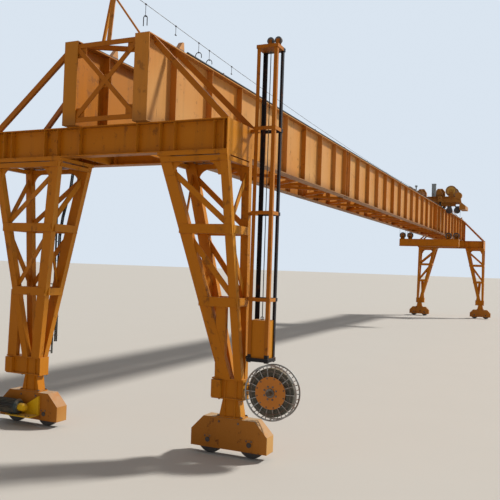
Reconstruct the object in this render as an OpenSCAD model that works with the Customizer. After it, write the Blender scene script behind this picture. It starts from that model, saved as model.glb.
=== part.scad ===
// Double-girder gantry crane on rails, modelled at half of its real size.
// X runs along the ground rails, Y along the girders, Z up from the rail head.
// The origin is the middle of the crane at the level where the wheels stand.

/* [Girders] */
// Spacing of the web stiffeners
panel_pitch = 925; // [600:25:1100]
// Number of whole panels between the end stiffeners
panel_count = 30; // [12:2:36]
// Distance from a girder's end to its first stiffener
end_panel = 640; // [400:10:900]
// Depth of a girder over its flanges
girder_h = 1000; // [700:10:1200]
// Width of the girder flanges
flange_w = 190; // [120:5:240]
// Thickness of the girder flanges
flange_t = 12; // [8:1:24]
// Thickness of the girder webs
web_t = 6; // [5:1:16]
// Thickness of the web stiffeners
stiffener_t = 8; // [5:1:14]
// Distance between the two girders, centre to centre
girder_gauge = 990; // [800:10:1200]
// Height of the girders' undersides above the ground rail
girder_z = 3750; // [3000:10:4500]

/* [Bracing] */
// Width of the bars that brace the two girders
brace_w = 56; // [30:2:80]
// Thickness of those bars
brace_t = 12; // [6:1:20]
// Stiffeners from one cross frame to the next
frame_every = 3; // [2:1:5]

/* [Crane rails] */
// Height of the rail that the trolley runs on
rail_h = 50; // [30:1:70]
// Width of the rail's head
rail_w = 36; // [20:1:60]
// Distance from the girder's end to the rail's end
rail_inset = 505; // [200:5:600]
// Height of the end stops over the rail
stop_h = 100; // [60:5:160]

/* [Cross beams] */
// Length of the portal beams along X
beam_len = 3120; // [2800:10:3400]
// Depth of the portal beams
beam_h = 350; // [250:5:450]
// Width of one I-beam's flanges
beam_flange_w = 150; // [100:5:200]
// Distance over the pair of I-beams, along Y
beam_depth = 870; // [760:10:1000]
// Distance from the girder's end to the portal beam
beam_inset = 100; // [60:5:160]

/* [Legs] */
// Distance from the crane's centre line to the inner columns at the top
leg_in = 700; // [660:10:900]
// Extra length of the near portal beam on its left side
left_over = 190; // [0:10:300]
// Width of a leg's head along Y
leg_head_d = 660; // [560:10:760]
// Width of a leg's foot along X
foot_w = 280; // [240:10:320]
// Width of a leg's foot along Y
foot_d = 170; // [140:5:200]
// Distance from the portal beam's end to the foot's middle
foot_in = 105; // [80:5:180]
// Distance from the girder's end to the foot's middle
foot_y = 680; // [580:5:720]
// Height of the joint between leg and foot
foot_z = 875; // [800:5:1000]
// Width of the inner columns along X
column_w = 134; // [80:2:150]
// Width of the outer columns along X
outer_w = 92; // [60:2:110]
// Depth of all four columns along Y
column_d = 78; // [40:2:82]
// Height of the lower struts
lower_strut_z = 1748; // [1500:10:1900]
// Height of the upper struts
upper_strut_z = 2558; // [2300:10:2800]
// Width of the lattice struts
strut_w = 106; // [50:2:130]
// Width of the lattice diagonals
diagonal_w = 64; // [30:2:80]

/* [Bogies] */
// Length of a bogie housing
bogie_len = 950; // [850:10:1100]
// Width of a bogie housing
bogie_w = 190; // [150:5:220]
// Height of the housing's lower edge
bogie_z = 80; // [60:5:120]
// Height of the housing's top
bogie_top = 430; // [400:5:480]
// Distance between the two wheels of a bogie
wheel_base = 520; // [400:10:560]
// Diameter of the wheels
wheel_d = 330; // [280:5:360]
// Width of the wheels
wheel_w = 62; // [40:2:80]
// Diameter of the wheel axles
axle_d = 56; // [40:2:80]

/* [Trolley] */
// Place of the trolley along the girders
trolley_y = 7500; // [-11500:50:11500]
// Length of the trolley frame along X
trolley_len = 2900; // [2600:10:3000]
// Distance between the trolley's axles
trolley_base = 1100; // [900:10:1300]
// Height of the trolley frame's top
deck_z = 5200; // [5120:5:5260]
// Diameter of the trolley wheels
trolley_wheel_d = 170; // [120:5:200]
// Diameter of the winch drums' end plates
drum_d = 440; // [360:10:480]
// Length of the winch drums
drum_len = 760; // [500:10:900]
// Distance from the centre line to the drums' axles
drum_x = 850; // [820:5:900]

/* [Hoist] */
// Pitch diameter of the rope sheaves
sheave_d = 240; // [200:5:270]
// Diameter of the hoist ropes
rope_d = 10; // [6:1:14]
// Distance from the centre line to the inner sheaves
sheave_in = 770; // [750:5:800]
// Distance from the centre line to the outer sheaves
sheave_out = 1080; // [1065:5:1120]
// Height of the upper sheaves' centres
upper_sheave_z = 4700; // [4600:5:4740]
// Height of the lower sheaves' centres
lower_sheave_z = 3665; // [3400:5:3665]
// Length of the lifting beam
lift_len = 2380; // [2340:10:2600]
// Depth of the lifting beam
lift_h = 300; // [180:5:340]

/* [Cable reel] */
// Diameter of the cable reel
reel_d = 620; // [500:10:640]
// Width of the cable reel
reel_w = 130; // [100:5:180]
// Distance from the foot's middle to the reel's axle
reel_out = 490; // [480:5:540]
// Height of the reel's axle
reel_z = 765; // [750:5:800]
// Number of spokes in a reel rim
spoke_count = 18; // [12:2:24]
// Width of the counterweight tower along X
tower_w = 245; // [220:5:280]
// Width of the counterweight tower along Y
tower_d = 215; // [200:5:240]
// Height of the tower's top plate
tower_z = 4655; // [4400:5:4800]
// Height of the counterweight
weight_h = 420; // [300:1:500]

/* [Hidden] */

girder_len = 2 * end_panel + panel_count * panel_pitch;
end_y = -girder_len / 2;
girder_x = girder_gauge / 2;
girder_top = girder_z + girder_h;
rail_top = girder_top + rail_h;
leg_out = beam_len / 2;
foot_x = leg_out - foot_in;
reel_x = foot_x + reel_out;
gap = 0.3;
running = 0.5;
steel = "orange";
shade = "darkorange";
dark = "dimgray";

function stiffener_y(i) = end_y + end_panel + i * panel_pitch;

// A straight bar from a to b; w lies in the upright plane through the bar.
module bar(a, b, w, d) {
    v = b - a;
    translate(a) rotate([0, acos(v.z / norm(v)), atan2(v.y, v.x)])
        translate([-w / 2, -d / 2, 0]) cube([w, d, norm(v)]);
}

module rod(a, b, diameter, sides = 24) {
    v = b - a;
    translate(a) rotate([0, acos(v.z / norm(v)), atan2(v.y, v.x)])
        cylinder(d = diameter, h = norm(v), $fn = sides);
}

// A box given by its lowest and highest corners.
module block(low, high) {
    translate(low) cube(high - low);
}

// A cylinder along Y, centred on its place.
module disc_y(place, diameter, width, sides = 48) {
    translate(place) rotate([90, 0, 0]) cylinder(d = diameter, h = width, center = true, $fn = sides);
}

module both_sides() {
    children();
    mirror([1, 0, 0]) children();
}

module both_ends() {
    children();
    mirror([0, 1, 0]) children();
}

// Girders

end_plate_t = 12;
stiffener_edge = 8;

module plate_girder() {
    half = girder_len / 2;
    reach = flange_w / 2 - stiffener_edge;
    union() {
        block([-flange_w / 2, -half, 0], [flange_w / 2, half, flange_t]);
        block([-flange_w / 2, -half, girder_h - flange_t], [flange_w / 2, half, girder_h]);
        block([-web_t / 2, -half, 0], [web_t / 2, half, girder_h]);
        for (i = [0 : panel_count])
            translate([0, stiffener_y(i), 0])
                block([-reach, -stiffener_t / 2, 0], [reach, stiffener_t / 2, girder_h]);
        both_ends() block([-flange_w / 2, -half, 0], [flange_w / 2, -half + end_plate_t, girder_h]);
    }
}

module right_girder() { color(steel) translate([girder_x, 0, girder_z]) plate_girder(); }

module left_girder() { color(steel) translate([-girder_x, 0, girder_z]) plate_girder(); }

stop_w = 60;
stop_base = 150;
stop_back = 240;

module crane_rails() {
    half = girder_len / 2 - rail_inset;
    color("black") both_sides() translate([girder_x, 0, girder_top]) union() {
        rotate([90, 0, 0]) linear_extrude(2 * half, center = true) rail_profile();
        both_ends() translate([0, -half + stop_back, 0]) rotate([90, 0, 90])
            linear_extrude(stop_w, center = true)
                polygon([[0, rail_h / 2], [stop_base * 0.7, rail_h + stop_h], [stop_base * 0.9, rail_h + stop_h],
                    [stop_base, rail_h / 2]]);
    }
}

module rail_profile() {
    foot = 1.7 * rail_w;
    neck = rail_w / 3;
    polygon([[-foot / 2, 0], [foot / 2, 0], [foot / 2, rail_h * 0.14], [neck / 2, rail_h * 0.3],
        [neck / 2, rail_h * 0.6], [rail_w / 2, rail_h * 0.7], [rail_w / 2, rail_h],
        [-rail_w / 2, rail_h], [-rail_w / 2, rail_h * 0.7], [-neck / 2, rail_h * 0.6],
        [-neck / 2, rail_h * 0.3], [-foot / 2, rail_h * 0.14]]);
}

// Bracing between the girders

brace_end = girder_x - web_t / 2 - 55;
brace_low = 60;
brace_high = 935;

// A flat bar from a to b in the drawing plane.
module flat(a, b, w) {
    v = b - a;
    translate(a) rotate(atan2(v.y, v.x)) translate([0, -w / 2]) square([norm(v), w]);
}

// One upright frame between the girders, its near face at y.
module cross_frame(y) {
    translate([0, y + brace_t, girder_z]) rotate([90, 0, 0]) linear_extrude(brace_t) union() {
        for (z = [brace_low, brace_high]) flat([-brace_end, z], [brace_end, z], brace_w);
        flat([-brace_end, brace_low], [brace_end, brace_high], brace_w);
        flat([-brace_end, brace_high], [brace_end, brace_low], brace_w);
    }
}

module end_frames() {
    color(shade) both_ends() cross_frame(end_y + end_plate_t);
}

module cross_frames() {
    color(shade) for (i = [frame_every : frame_every : panel_count - frame_every])
        cross_frame(stiffener_y(i) + stiffener_t / 2);
}

lateral_t = 36;

module lateral_bracing() {
    z = girder_z + flange_t + brace_w / 2;
    reach = girder_x - web_t / 2 - 20;
    clear = 60;
    color(shade) for (i = [0 : panel_count - 1]) {
        side = i % 2 == 0 ? 1 : -1;
        bar([-side * reach, stiffener_y(i) + clear, z], [side * reach, stiffener_y(i + 1) - clear, z],
            brace_w, lateral_t);
    }
    color(shade) both_ends() bar(plan_start, plan_end, brace_w, lateral_t);
}

// The one bar in the plan of the top flanges, in the girders' first panel.
plan_z = girder_top - flange_t - brace_w / 2;
plan_start = [20 + web_t / 2 - girder_x, end_y + 60, plan_z];
plan_end = [girder_x - web_t / 2 - 20, end_y + end_panel - 60, plan_z];

// Place on that bar's middle line at x.
function on_plan_bar(x) = plan_start + (plan_end - plan_start) * (x - plan_start.x) / (plan_end.x - plan_start.x);

// Portal beams and their corner struts

beam_front = end_y + beam_inset;
beam_back = beam_front + beam_depth;
beam_low = girder_z - beam_h;
beam_flange_t = 12;
beam_web_t = 9;
beam_stiffeners = [0.965, 0.887, 0.57, 0.45, 0.25];

// One I-beam; over is what its left side is longer than its right side.
module i_beam(y, over) {
    half = beam_len / 2;
    spread = (half + over / 2) / half;
    translate([0, y, beam_low]) union() {
        for (z = [0, beam_h - beam_flange_t])
            block([-half - over, -beam_flange_w / 2, z], [half, beam_flange_w / 2, z + beam_flange_t]);
        block([-half - over, -beam_web_t / 2, 0], [half, beam_web_t / 2, beam_h]);
        for (s = beam_stiffeners) for (x = [s * half, -s * half * spread])
            translate([x, 0, 0]) block([-stiffener_t / 2, -beam_flange_w / 2 + stiffener_edge, 0],
                [stiffener_t / 2, beam_flange_w / 2 - stiffener_edge, beam_h]);
    }
}

module cross_beam(over) {
    half = beam_len / 2;
    web_y = beam_flange_w / 2;
    union() {
        i_beam(beam_front + web_y, over);
        i_beam(beam_back - web_y, over);
        for (x = [half, -half - over + end_plate_t])
            block([x - end_plate_t, beam_front, beam_low], [x, beam_back, girder_z]);
        both_sides() for (x = [girder_x, leg_in + foot_w])
            block([x - end_plate_t, beam_front + web_y, beam_low], [x, beam_back - web_y, girder_z]);
    }
}

module near_cross_beam() { color(steel) cross_beam(left_over); }

module far_cross_beam() { color(steel) mirror([0, 1, 0]) cross_beam(0); }

strut_t = 40;
corner_w = 66;
strut_drop = 62;
strut_reach = 120;
strut_foot_x = 36;
rear_strut_top = 495;

// Sloping struts from the girders' top corners down to the ends of a portal beam.
module corner_struts() {
    color(steel) {
        strut_pair(0);
        mirror([1, 0, 0]) strut_pair(left_over);
        mirror([0, 1, 0]) both_sides() strut_pair(0);
    }
}

// The front and the rear strut at a beam's end that is longer by over.
module strut_pair(over) {
    x_top = girder_x + flange_w / 2;
    x_low = beam_len / 2 + over - strut_foot_x;
    front_y = beam_front + strut_t / 2;
    rear_y = beam_back - beam_flange_w + strut_t / 2;
    corner_strut([x_top, front_y, girder_top - strut_drop], [x_low, front_y, girder_z], over);
    corner_strut([x_top, beam_front + rear_strut_top, girder_top - strut_drop], [x_low, rear_y, girder_z], over);
}

// One strut, cut flush with the girder's flange and the beam's top.
module corner_strut(high, low, over) {
    along = (low - high) / norm(low - high);
    intersection() {
        bar(high - strut_reach * along, low + strut_reach * along, corner_w, strut_t);
        block([high.x, end_y, girder_z], [beam_len / 2 + over, 0, girder_top]);
    }
}

// Legs

cap_h = 40;
head_z = beam_low;
foot_front = end_y + foot_y - foot_d / 2;
foot_back = foot_front + foot_d;
foot_inner = foot_x - foot_w / 2;
foot_outer = foot_x + foot_w / 2;
head_front = beam_front;
head_back = head_front + leg_head_d;
$over = 0; // what a leg's outer columns lean out by at the top

// Outer corner of a column at height z; inner and front say which of the four it is.
function column_at(z, inner, front) =
    let (t = (head_z - z) / (head_z - foot_z))
    [(inner ? leg_in : leg_out + $over) * (1 - t) + (inner ? foot_inner : foot_outer) * t,
        (front ? head_front : head_back) * (1 - t) + (front ? foot_front : foot_back) * t, z];

// Section of a column: the inner pair is wider than the outer one.
function column_size(inner) = [inner ? column_w : outer_w, column_d];

// Middle of a column, where the lattice bars meet it.
function column_mid(z, inner, front) =
    column_at(z, inner, front) + [(inner ? 1 : -1) * column_size(inner).x / 2, (front ? 1 : -1) * column_d / 2, 0];

// A box between two places, its sides kept square to X and Y however it leans.
module leaning(low, high, size) {
    v = high - low;
    translate(low) rotate([0, atan2(v.x, v.z), 0]) rotate([-atan2(v.y, norm([v.x, v.z])), 0, 0])
        linear_extrude(norm(v)) square(size, center = true);
}

module column(inner, front) {
    leaning(column_mid(foot_z - 90, inner, front), column_mid(head_z + 90, inner, front), column_size(inner));
}

// A flat bar between two columns, on one face of the leg.
module face_bar(za, ia, fa, zb, ib, fb) {
    bar(column_mid(za, ia, fa), column_mid(zb, ib, fb), diagonal_w, diagonal_t);
}

diagonal_t = 14;
strut_d = 56;
strut_proud = 3;
strut_step = 6;
head_strut_h = 60;
head_strut_z = head_z - cap_h - head_strut_h / 2 - 10;
gusset_r = 180;
gusset_t = 18;
bay_lap = 40;

// Strut across the front or the back of the leg, laid over the columns' faces.
module cross_strut(z, h, front) {
    left = column_at(z, true, front).x + 8;
    right = column_at(z, false, front).x - 8;
    face = column_at(z + h / 2, true, front).y - (front ? 1 : -1) * strut_proud;
    back = face + (front ? 1 : -1) * strut_d;
    block([left, min(face, back), z - h / 2], [right, max(face, back), z + h / 2]);
}

// Strut across the inner or the outer side of the leg.
module side_strut(z, h, inner) {
    front = column_mid(z, inner, true).y;
    rear = column_mid(z, inner, false).y;
    face = side_strut_face(z, h, inner);
    back = face + (inner ? 1 : -1) * strut_d;
    block([min(face, back), front, z - h / 2 + strut_step], [max(face, back), rear, z + h / 2 - strut_step]);
}

function side_strut_face(z, h, inner) =
    column_at(z + (inner ? 1 : -1) * h / 2, inner, true).x - (inner ? 1 : -1) * strut_proud;

// Plate with a hollow round edge, in the corner below the head strut.
module head_gusset(inner, front) {
    corner = column_mid(head_strut_z, inner, front);
    turn = inner ? 1 : -1;
    reach = column_size(inner).x / 2 + gusset_r;
    translate(corner) rotate([90, 0, 0]) linear_extrude(gusset_t, center = true) scale([turn, 1])
        difference() {
            translate([0, -gusset_r]) square([reach, gusset_r]);
            translate([reach, -gusset_r]) circle(r = gusset_r - head_strut_h / 2, $fn = 48);
        }
}

module leg_lattice() {
    levels = [[head_strut_z, head_strut_h], [upper_strut_z, strut_w], [lower_strut_z, strut_w]];
    bays = [[head_strut_z - 90, upper_strut_z + bay_lap], [upper_strut_z - bay_lap, lower_strut_z + bay_lap]];
    union() {
        intersection() {
            union() {
                for (inner = [true, false]) for (front = [true, false]) column(inner, front);
                if ($over > 0) outer_foot_post(); else foot_post();
            }
            block([0, end_y, foot_z], [beam_len, 0, head_z - cap_h / 2]);
        }
        block([leg_in - 14, head_front, head_z - cap_h], [leg_out + $over, head_back, head_z]);
        for (level = levels) {
            for (front = [true, false]) cross_strut(level[0], level[1], front);
            for (inner = [true, false]) side_strut(level[0], level[1], inner);
        }
        for (inner = [true, false]) for (front = [true, false]) head_gusset(inner, front);
        for (bay = bays) for (front = [true, false]) face_bar(bay[0], true, front, bay[1], false, front);
        for (inner = [true, false]) {
            face_bar(bays[0][0], inner, false, bays[0][1], inner, true);
            face_bar(bays[1][0], inner, true, bays[1][1], inner, false);
        }
    }
}

post_w = 118;
post_d = 66;
post_in = 5;
post_lean = 75;

// Post in the plane of the front columns, from the lower strut down to the foot plate.
module foot_post() {
    x = foot_inner - post_in;
    y = column_d / 2;
    leaning([x - 6, column_at(foot_z - 60, true, true).y + y, foot_z - 60],
        [x + post_lean, column_at(lower_strut_z, true, true).y + y, lower_strut_z], [post_w, post_d]);
}

outer_post_w = 150;
outer_post_lean = 190;
outer_wing = 270;

// The same for the leg whose outer columns lean in: it stands on the foot's outer wing.
module outer_foot_post() {
    x = foot_outer + outer_wing - outer_post_w / 2;
    y = column_d / 2;
    leaning([x + 6, column_at(foot_z - 60, true, true).y + y, foot_z - 60],
        [x - outer_post_lean, column_at(lower_strut_z, true, true).y + y, lower_strut_z], [outer_post_w, post_d]);
}

module near_right_leg() { color(steel) leg_lattice(); }

module near_left_leg() { color(steel) mirror([1, 0, 0]) leg_lattice($over = left_over); }

module far_right_leg() { color(steel) mirror([0, 1, 0]) leg_lattice(); }

module far_left_leg() { color(steel) mirror([1, 0, 0]) mirror([0, 1, 0]) leg_lattice(); }

foot_plate = 15;
foot_rim = 20;
foot_wing = 95;
foot_block_z = 655;
rib_t = 10;
box_w = 120;
box_proud = 26;

// Stiffened block and pedestal between a leg and its bogie.
module leg_foot(wing) {
    left = -foot_w / 2 - wing;
    right = foot_w / 2 + foot_rim;
    half = foot_d / 2;
    translate([foot_x, end_y + foot_y, 0]) union() {
        for (z = [foot_z - foot_plate, foot_block_z - foot_plate])
            block([left, -half, z], [right, half, z + foot_plate]);
        block([-foot_w / 2 - foot_rim, -half, bogie_top], [right, half, bogie_top + foot_plate]);
        block([left + foot_rim, -half + foot_rim, foot_block_z - foot_plate], [right - foot_rim, half - foot_rim, foot_z]);
        block([left + 5, -half - box_proud, foot_block_z + 3], [left + box_w, half - 3, foot_z - foot_plate - 5]);
        for (x = [-foot_w / 4, foot_w / 4, right - rib_t])
            block([x, -half + 2, foot_block_z - foot_plate], [x + rib_t, half - 2, foot_z]);
        rotate([90, 0, 0]) linear_extrude(foot_d - 2 * foot_rim, center = true)
            polygon([[-foot_w / 2, bogie_top], [foot_w / 2, bogie_top], [foot_w / 3, foot_block_z],
                [-foot_w / 3, foot_block_z]]);
        for (x = [-foot_w / 4, foot_w / 4 - rib_t])
            block([x, -half + 2, bogie_top], [x + rib_t, half - 2, foot_block_z]);
    }
}

module leg_feet() {
    color(shade) {
        leg_foot(foot_wing);
        mirror([0, 1, 0]) both_sides() leg_foot(foot_wing);
        translate([-2 * foot_x, 0, 0]) leg_foot(outer_wing);
    }
}

// Bogies

bogie_plate = 12;
bogie_shoulder = 270;
bogie_chamfer = 155;
wheel_z = wheel_d / 2;

module bogie_side() {
    half = bogie_len / 2;
    polygon([[-half, bogie_z], [-half, bogie_shoulder], [-half + bogie_chamfer, bogie_top],
        [half - bogie_chamfer, bogie_top], [half, bogie_shoulder], [half, bogie_z]]);
}

module bogie() {
    inner = bogie_w - 2 * bogie_plate;
    translate([foot_x, end_y + foot_y, 0]) difference() {
        rotate([90, 0, 0]) linear_extrude(bogie_w, center = true) bogie_side();
        rotate([90, 0, 0]) linear_extrude(inner, center = true) bogie_pocket();
        for (x = [-wheel_base / 2, wheel_base / 2])
            disc_y([x, 0, wheel_z], axle_d + 2 * running, 2 * bogie_w);
    }
}

// Inside of a housing, open below, with its top following the roof.
module bogie_pocket() {
    half = bogie_len / 2 - bogie_plate;
    top = bogie_top - bogie_plate;
    polygon([[-half, bogie_z - 1], [-half, bogie_shoulder - bogie_plate / 2],
        [-half + bogie_chamfer, top], [half - bogie_chamfer, top],
        [half, bogie_shoulder - bogie_plate / 2], [half, bogie_z - 1]]);
}

module near_bogies() { color(shade) both_sides() bogie(); }

module far_bogies() { color(shade) mirror([0, 1, 0]) both_sides() bogie(); }

hub_d = 96;
flange_over = 14;
hub_cap = 6;

// A flanged wheel with its axle, standing under the girder's near end on the right.
module wheel(x) {
    tread = wheel_w - 2 * 8;
    translate([x, end_y + foot_y, wheel_z]) rotate([90, 0, 0]) union() {
        cylinder(d = wheel_d - 2 * flange_over, h = wheel_w, center = true, $fn = 64);
        cylinder(d = wheel_d, h = tread, center = true, $fn = 64);
        cylinder(d = hub_d, h = bogie_w - 2 * bogie_plate - 2, center = true, $fn = 48);
        cylinder(d = axle_d, h = bogie_w + 2 * hub_cap, center = true, $fn = 48);
    }
}

wheel_front = foot_x - wheel_base / 2;
wheel_rear = foot_x + wheel_base / 2;

module wheel_1() { color(dark) wheel(wheel_front); }
module wheel_2() { color(dark) wheel(wheel_rear); }
module wheel_3() { color(dark) mirror([1, 0, 0]) wheel(wheel_front); }
module wheel_4() { color(dark) mirror([1, 0, 0]) wheel(wheel_rear); }
module wheel_5() { color(dark) mirror([0, 1, 0]) wheel(wheel_front); }
module wheel_6() { color(dark) mirror([0, 1, 0]) wheel(wheel_rear); }
module wheel_7() { color(dark) mirror([1, 0, 0]) mirror([0, 1, 0]) wheel(wheel_front); }
module wheel_8() { color(dark) mirror([1, 0, 0]) mirror([0, 1, 0]) wheel(wheel_rear); }

motor_d = 190;
motor_len = 370;
motor_in = 110;
motor_out = 110;
motor_z = 243;
motor_cap = 112;
drive_in = 115;
bracket_t = 12;
bracket_in = 340;
bracket_len = 400;
bracket_web = 30;
bracket_h = 255;

// Geared travel motor on a bracket with a triangular web, in front of the outer half of a bogie.
module travel_drive() {
    face = end_y + foot_y - bogie_w / 2;
    low = -motor_d / 2 - bracket_t;
    translate([wheel_rear - drive_in, face, motor_z]) union() {
        rotate([90, 0, 0]) cylinder(d = motor_d * 0.8, h = motor_out, $fn = 40);
        translate([-motor_in, -motor_out, 0]) rotate([0, 90, 0]) cylinder(d = motor_d, h = motor_len, $fn = 40);
        translate([-motor_in - motor_cap, -motor_out, 0]) rotate([0, 90, 0])
            cylinder(d = motor_d * 0.55, h = motor_cap + 1, $fn = 40);
        block([-bracket_in, -motor_d, low], [bracket_len - bracket_in, 0, low + bracket_t + 1]);
        rotate([90, 0, 0]) linear_extrude(bracket_web)
            polygon([[-bracket_in, low], [-bracket_in, low + bracket_h], [bracket_len - bracket_in, low]]);
    }
}

module travel_drives() { color("slategray") both_ends() mirror([1, 0, 0]) travel_drive(); }

ladder_w = 150;
ladder_t = 12;
rung_pitch = 300;
ladder_in = 120;
ladder_x = ladder_in - beam_len / 2;
ladder_low = 900;

// Access ladder that hangs from the portal beam behind the near left leg.
module ladder() {
    y = beam_back - beam_flange_w / 2;
    count = floor((head_z - ladder_low) / rung_pitch - 0.25);
    color(steel) translate([ladder_x, y, 0]) union() {
        for (x = [-ladder_w / 2, ladder_w / 2])
            block([x - ladder_t / 2, -ladder_t, ladder_low], [x + ladder_t / 2, ladder_t, head_z]);
        for (i = [1 : count])
            translate([0, 0, head_z - (i + 0.25) * rung_pitch])
                block([-ladder_w / 2, -ladder_t / 2, 0], [ladder_w / 2, ladder_t / 2, ladder_t]);
    }
}

// Feed-line masts and their wire

mast_x = -120;
mast_top = 5580;
mast_foot_x = 30;
brace_foot_x = -200;
mast_w = 56;
mast_t = 30;
stay_z = 5330;
stay_d = 24;
wire_z = 5530;
wire_d = 8;
wire_sag = 295;
wire_steps = 16;
mast_y = end_y + end_plate_t + brace_t / 2;
apex_setback = 315;
apex_y = end_y + apex_setback;

// Leaning mast on the end frame's top bar, with a brace on the plan bar and a stay to the girder's corner.
module mast() {
    foot = [mast_foot_x, mast_y, girder_z + brace_high + brace_w / 2];
    heel = on_plan_bar(brace_foot_x) + [0, 0, brace_w / 2];
    apex = [mast_x, apex_y, mast_top];
    along = (stay_z - foot.z) / (apex.z - foot.z);
    union() {
        intersection() {
            leaning(foot - (apex - foot) * 0.05, apex, [mast_w, brace_t]);
            block([-girder_x, end_y, foot.z], [girder_x, 0, mast_top]);
        }
        intersection() {
            leaning(heel - (apex - heel) * 0.05, apex, [mast_t, mast_t]);
            block([-girder_x, end_y, heel.z], [girder_x, 0, mast_top]);
        }
        block(apex - [mast_w / 2, mast_t / 2, 60], apex + [mast_w / 2, mast_t / 2, 0]);
        intersection() {
            rod([girder_x - mast_t, mast_y, girder_top - 20], foot + (apex - foot) * along, stay_d, 12);
            block([-girder_x, end_y, girder_top + gap], [girder_x, 0, mast_top]);
        }
    }
}

module wire_masts() { color(steel) both_ends() mast(); }

// Height of the sagging wire at u, from -1 at one mast to 1 at the other.
function wire_height(u) = wire_z - wire_sag * (1 - u * u);

module messenger_wire() {
    reach = -apex_y - mast_t / 2 - gap;
    sides = 8;
    rings = [for (i = [0 : wire_steps]) let (u = -1 + 2 * i / wire_steps) for (k = [0 : sides - 1])
        [mast_x + wire_d / 2 * cos(k * 360 / sides), u * reach, wire_height(u) + wire_d / 2 * sin(k * 360 / sides)]];
    walls = [for (i = [0 : wire_steps - 1]) for (k = [0 : sides - 1])
        [i * sides + k, i * sides + (k + 1) % sides, (i + 1) * sides + (k + 1) % sides, (i + 1) * sides + k]];
    near_cap = [for (k = [sides - 1 : -1 : 0]) k];
    far_cap = [for (k = [0 : sides - 1]) wire_steps * sides + k];
    color(dark) polyhedron(rings, concat(walls, [near_cap, far_cap]));
}

// Trolley

beam_w = 120;
deck_t = 10;
deck_low = 4865;
cross_low = 4985;
deck_half = 1020;
deck_rim = 30;
end_low = 4700;
end_top = 4850;
end_w = 900;
sheave_clear = 10;
end_wall = 12;
buffer = 120;
wheel_room = 20;

// Frame of two side beams over the rails, three cross beams and stepped ends.
module trolley_frame() {
    half = trolley_base / 2 + beam_w / 2;
    side_low = rail_top + trolley_wheel_d + 15;
    cross_y = (trolley_base - trolley_wheel_d - beam_w) / 2 - wheel_room;
    color(shade) translate([0, trolley_y, 0]) union() {
        both_sides() {
            block([girder_x - beam_w / 2, -half - buffer, side_low],
                [girder_x + beam_w / 2, half + buffer, deck_z - 1]);
            for (y = [-trolley_base / 2, trolley_base / 2]) trolley_axle_box(y, side_low);
            rotate([90, 0, 0]) linear_extrude(end_w, center = true) trolley_end();
        }
        for (s = [-1, 1]) translate([0, s * cross_y, 0])
            block([-deck_half, -beam_w / 2, cross_low + 3], [deck_half, beam_w / 2, deck_z - 2]);
        block([-deck_half, -beam_w / 2, deck_low], [deck_half, beam_w / 2, deck_z - 3]);
        block([-deck_half, -half - deck_rim, deck_z - deck_t], [deck_half, half + deck_rim, deck_z]);
    }
}

// Side view of the trolley's sloping, stepped end, clear of the outer sheave.
module trolley_end() {
    tip = trolley_len / 2;
    step = sheave_out + sheave_d / 2 + rope_d + sheave_clear;
    polygon([[deck_half - 4, cross_low], [deck_half - 4, deck_z - 4], [tip, end_top], [tip, end_low],
        [step, end_low], [step, min(cross_low, slope_z(step) - end_wall)]]);
}

cheek_t = 12;
trolley_wheel_w = 50;

// Cheek plates that carry a trolley wheel's axle below the side beam.
module trolley_axle_box(y, side_low) {
    z = rail_top + gap + trolley_wheel_d / 2;
    r = trolley_wheel_d / 2 - 20;
    for (x = [girder_x - beam_w / 2, girder_x + beam_w / 2 - cheek_t])
        block([x, y - r, z - r / 2], [x + cheek_t, y + r, side_low]);
}

module trolley_wheels() {
    z = rail_top + gap + trolley_wheel_d / 2;
    inner = beam_w - 2 * cheek_t;
    color(dark) translate([0, trolley_y, 0]) both_sides()
        for (y = [-trolley_base / 2, trolley_base / 2])
            translate([girder_x, y, z]) rotate([0, 90, 0]) union() {
                cylinder(d = trolley_wheel_d, h = trolley_wheel_w, center = true, $fn = 48);
                cylinder(d = trolley_wheel_d / 3, h = inner, center = true, $fn = 32);
            }
}

// Winch

drum_z = deck_z + drum_d / 2 + 45;
drum_y = trolley_y + 190;
drum_core = 290;
drum_rim = 14;
drum_axle = 60;
pedestal_t = 40;

// A flanged rope drum, its axle along Y.
module drum(x) {
    translate([x, drum_y, drum_z]) rotate([90, 0, 0]) union() {
        cylinder(d = drum_core, h = drum_len, center = true, $fn = 64);
        for (z = [-drum_len / 2 + drum_rim / 2, drum_len / 2 - drum_rim / 2])
            translate([0, 0, z]) cylinder(d = drum_d, h = drum_rim, center = true, $fn = 64);
        cylinder(d = drum_axle, h = drum_len + 2 * pedestal_t + 20, center = true, $fn = 32);
    }
}

module right_drum() { color("goldenrod") drum(drum_x); }

module left_drum() { color("goldenrod") mirror([1, 0, 0]) drum(drum_x); }

case_x = 180;
case_w = 380;
case_h = 400;
case_d = 170;
hoist_motor_d = 250;
hoist_motor_len = 480;
brake_d = 270;
brake_w = 150;
brake_x = 1170;
brake_clear = 6;

// Hoist motors with their gear cases, brakes and the drums' bearing pedestals.
module winch_motor() {
    y = drum_len / 2 + 8;
    color("slategray") both_sides() {
        for (s = [-1, 1]) translate([0, drum_y, deck_z]) bearing_pedestal(drum_x, s * (y + pedestal_t / 2));
        hoist_drive();
        brake();
    }
}

// Gear case between the drums, with its motor lying in front of it.
module hoist_drive() {
    x = case_x + case_w / 2;
    translate([x, drum_y, deck_z]) union() {
        rotate([90, 0, 0]) linear_extrude(case_d, center = true)
            polygon([[-case_w / 2, 0], [case_w / 2, 0], [case_w / 2, case_h * 0.7], [case_w / 4, case_h],
                [-case_w / 4, case_h], [-case_w / 2, case_h * 0.6]]);
        translate([0, -case_d / 2, hoist_motor_d / 2 + 30]) rotate([90, 0, 0]) {
            cylinder(d = hoist_motor_d, h = hoist_motor_len, $fn = 40);
            cylinder(d = hoist_motor_d * 0.7, h = hoist_motor_len + 50, $fn = 40);
        }
        block([-90, -case_d / 2 - hoist_motor_len * 0.8, 0], [90, -case_d / 2 - 60, 60]);
    }
}

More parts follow.
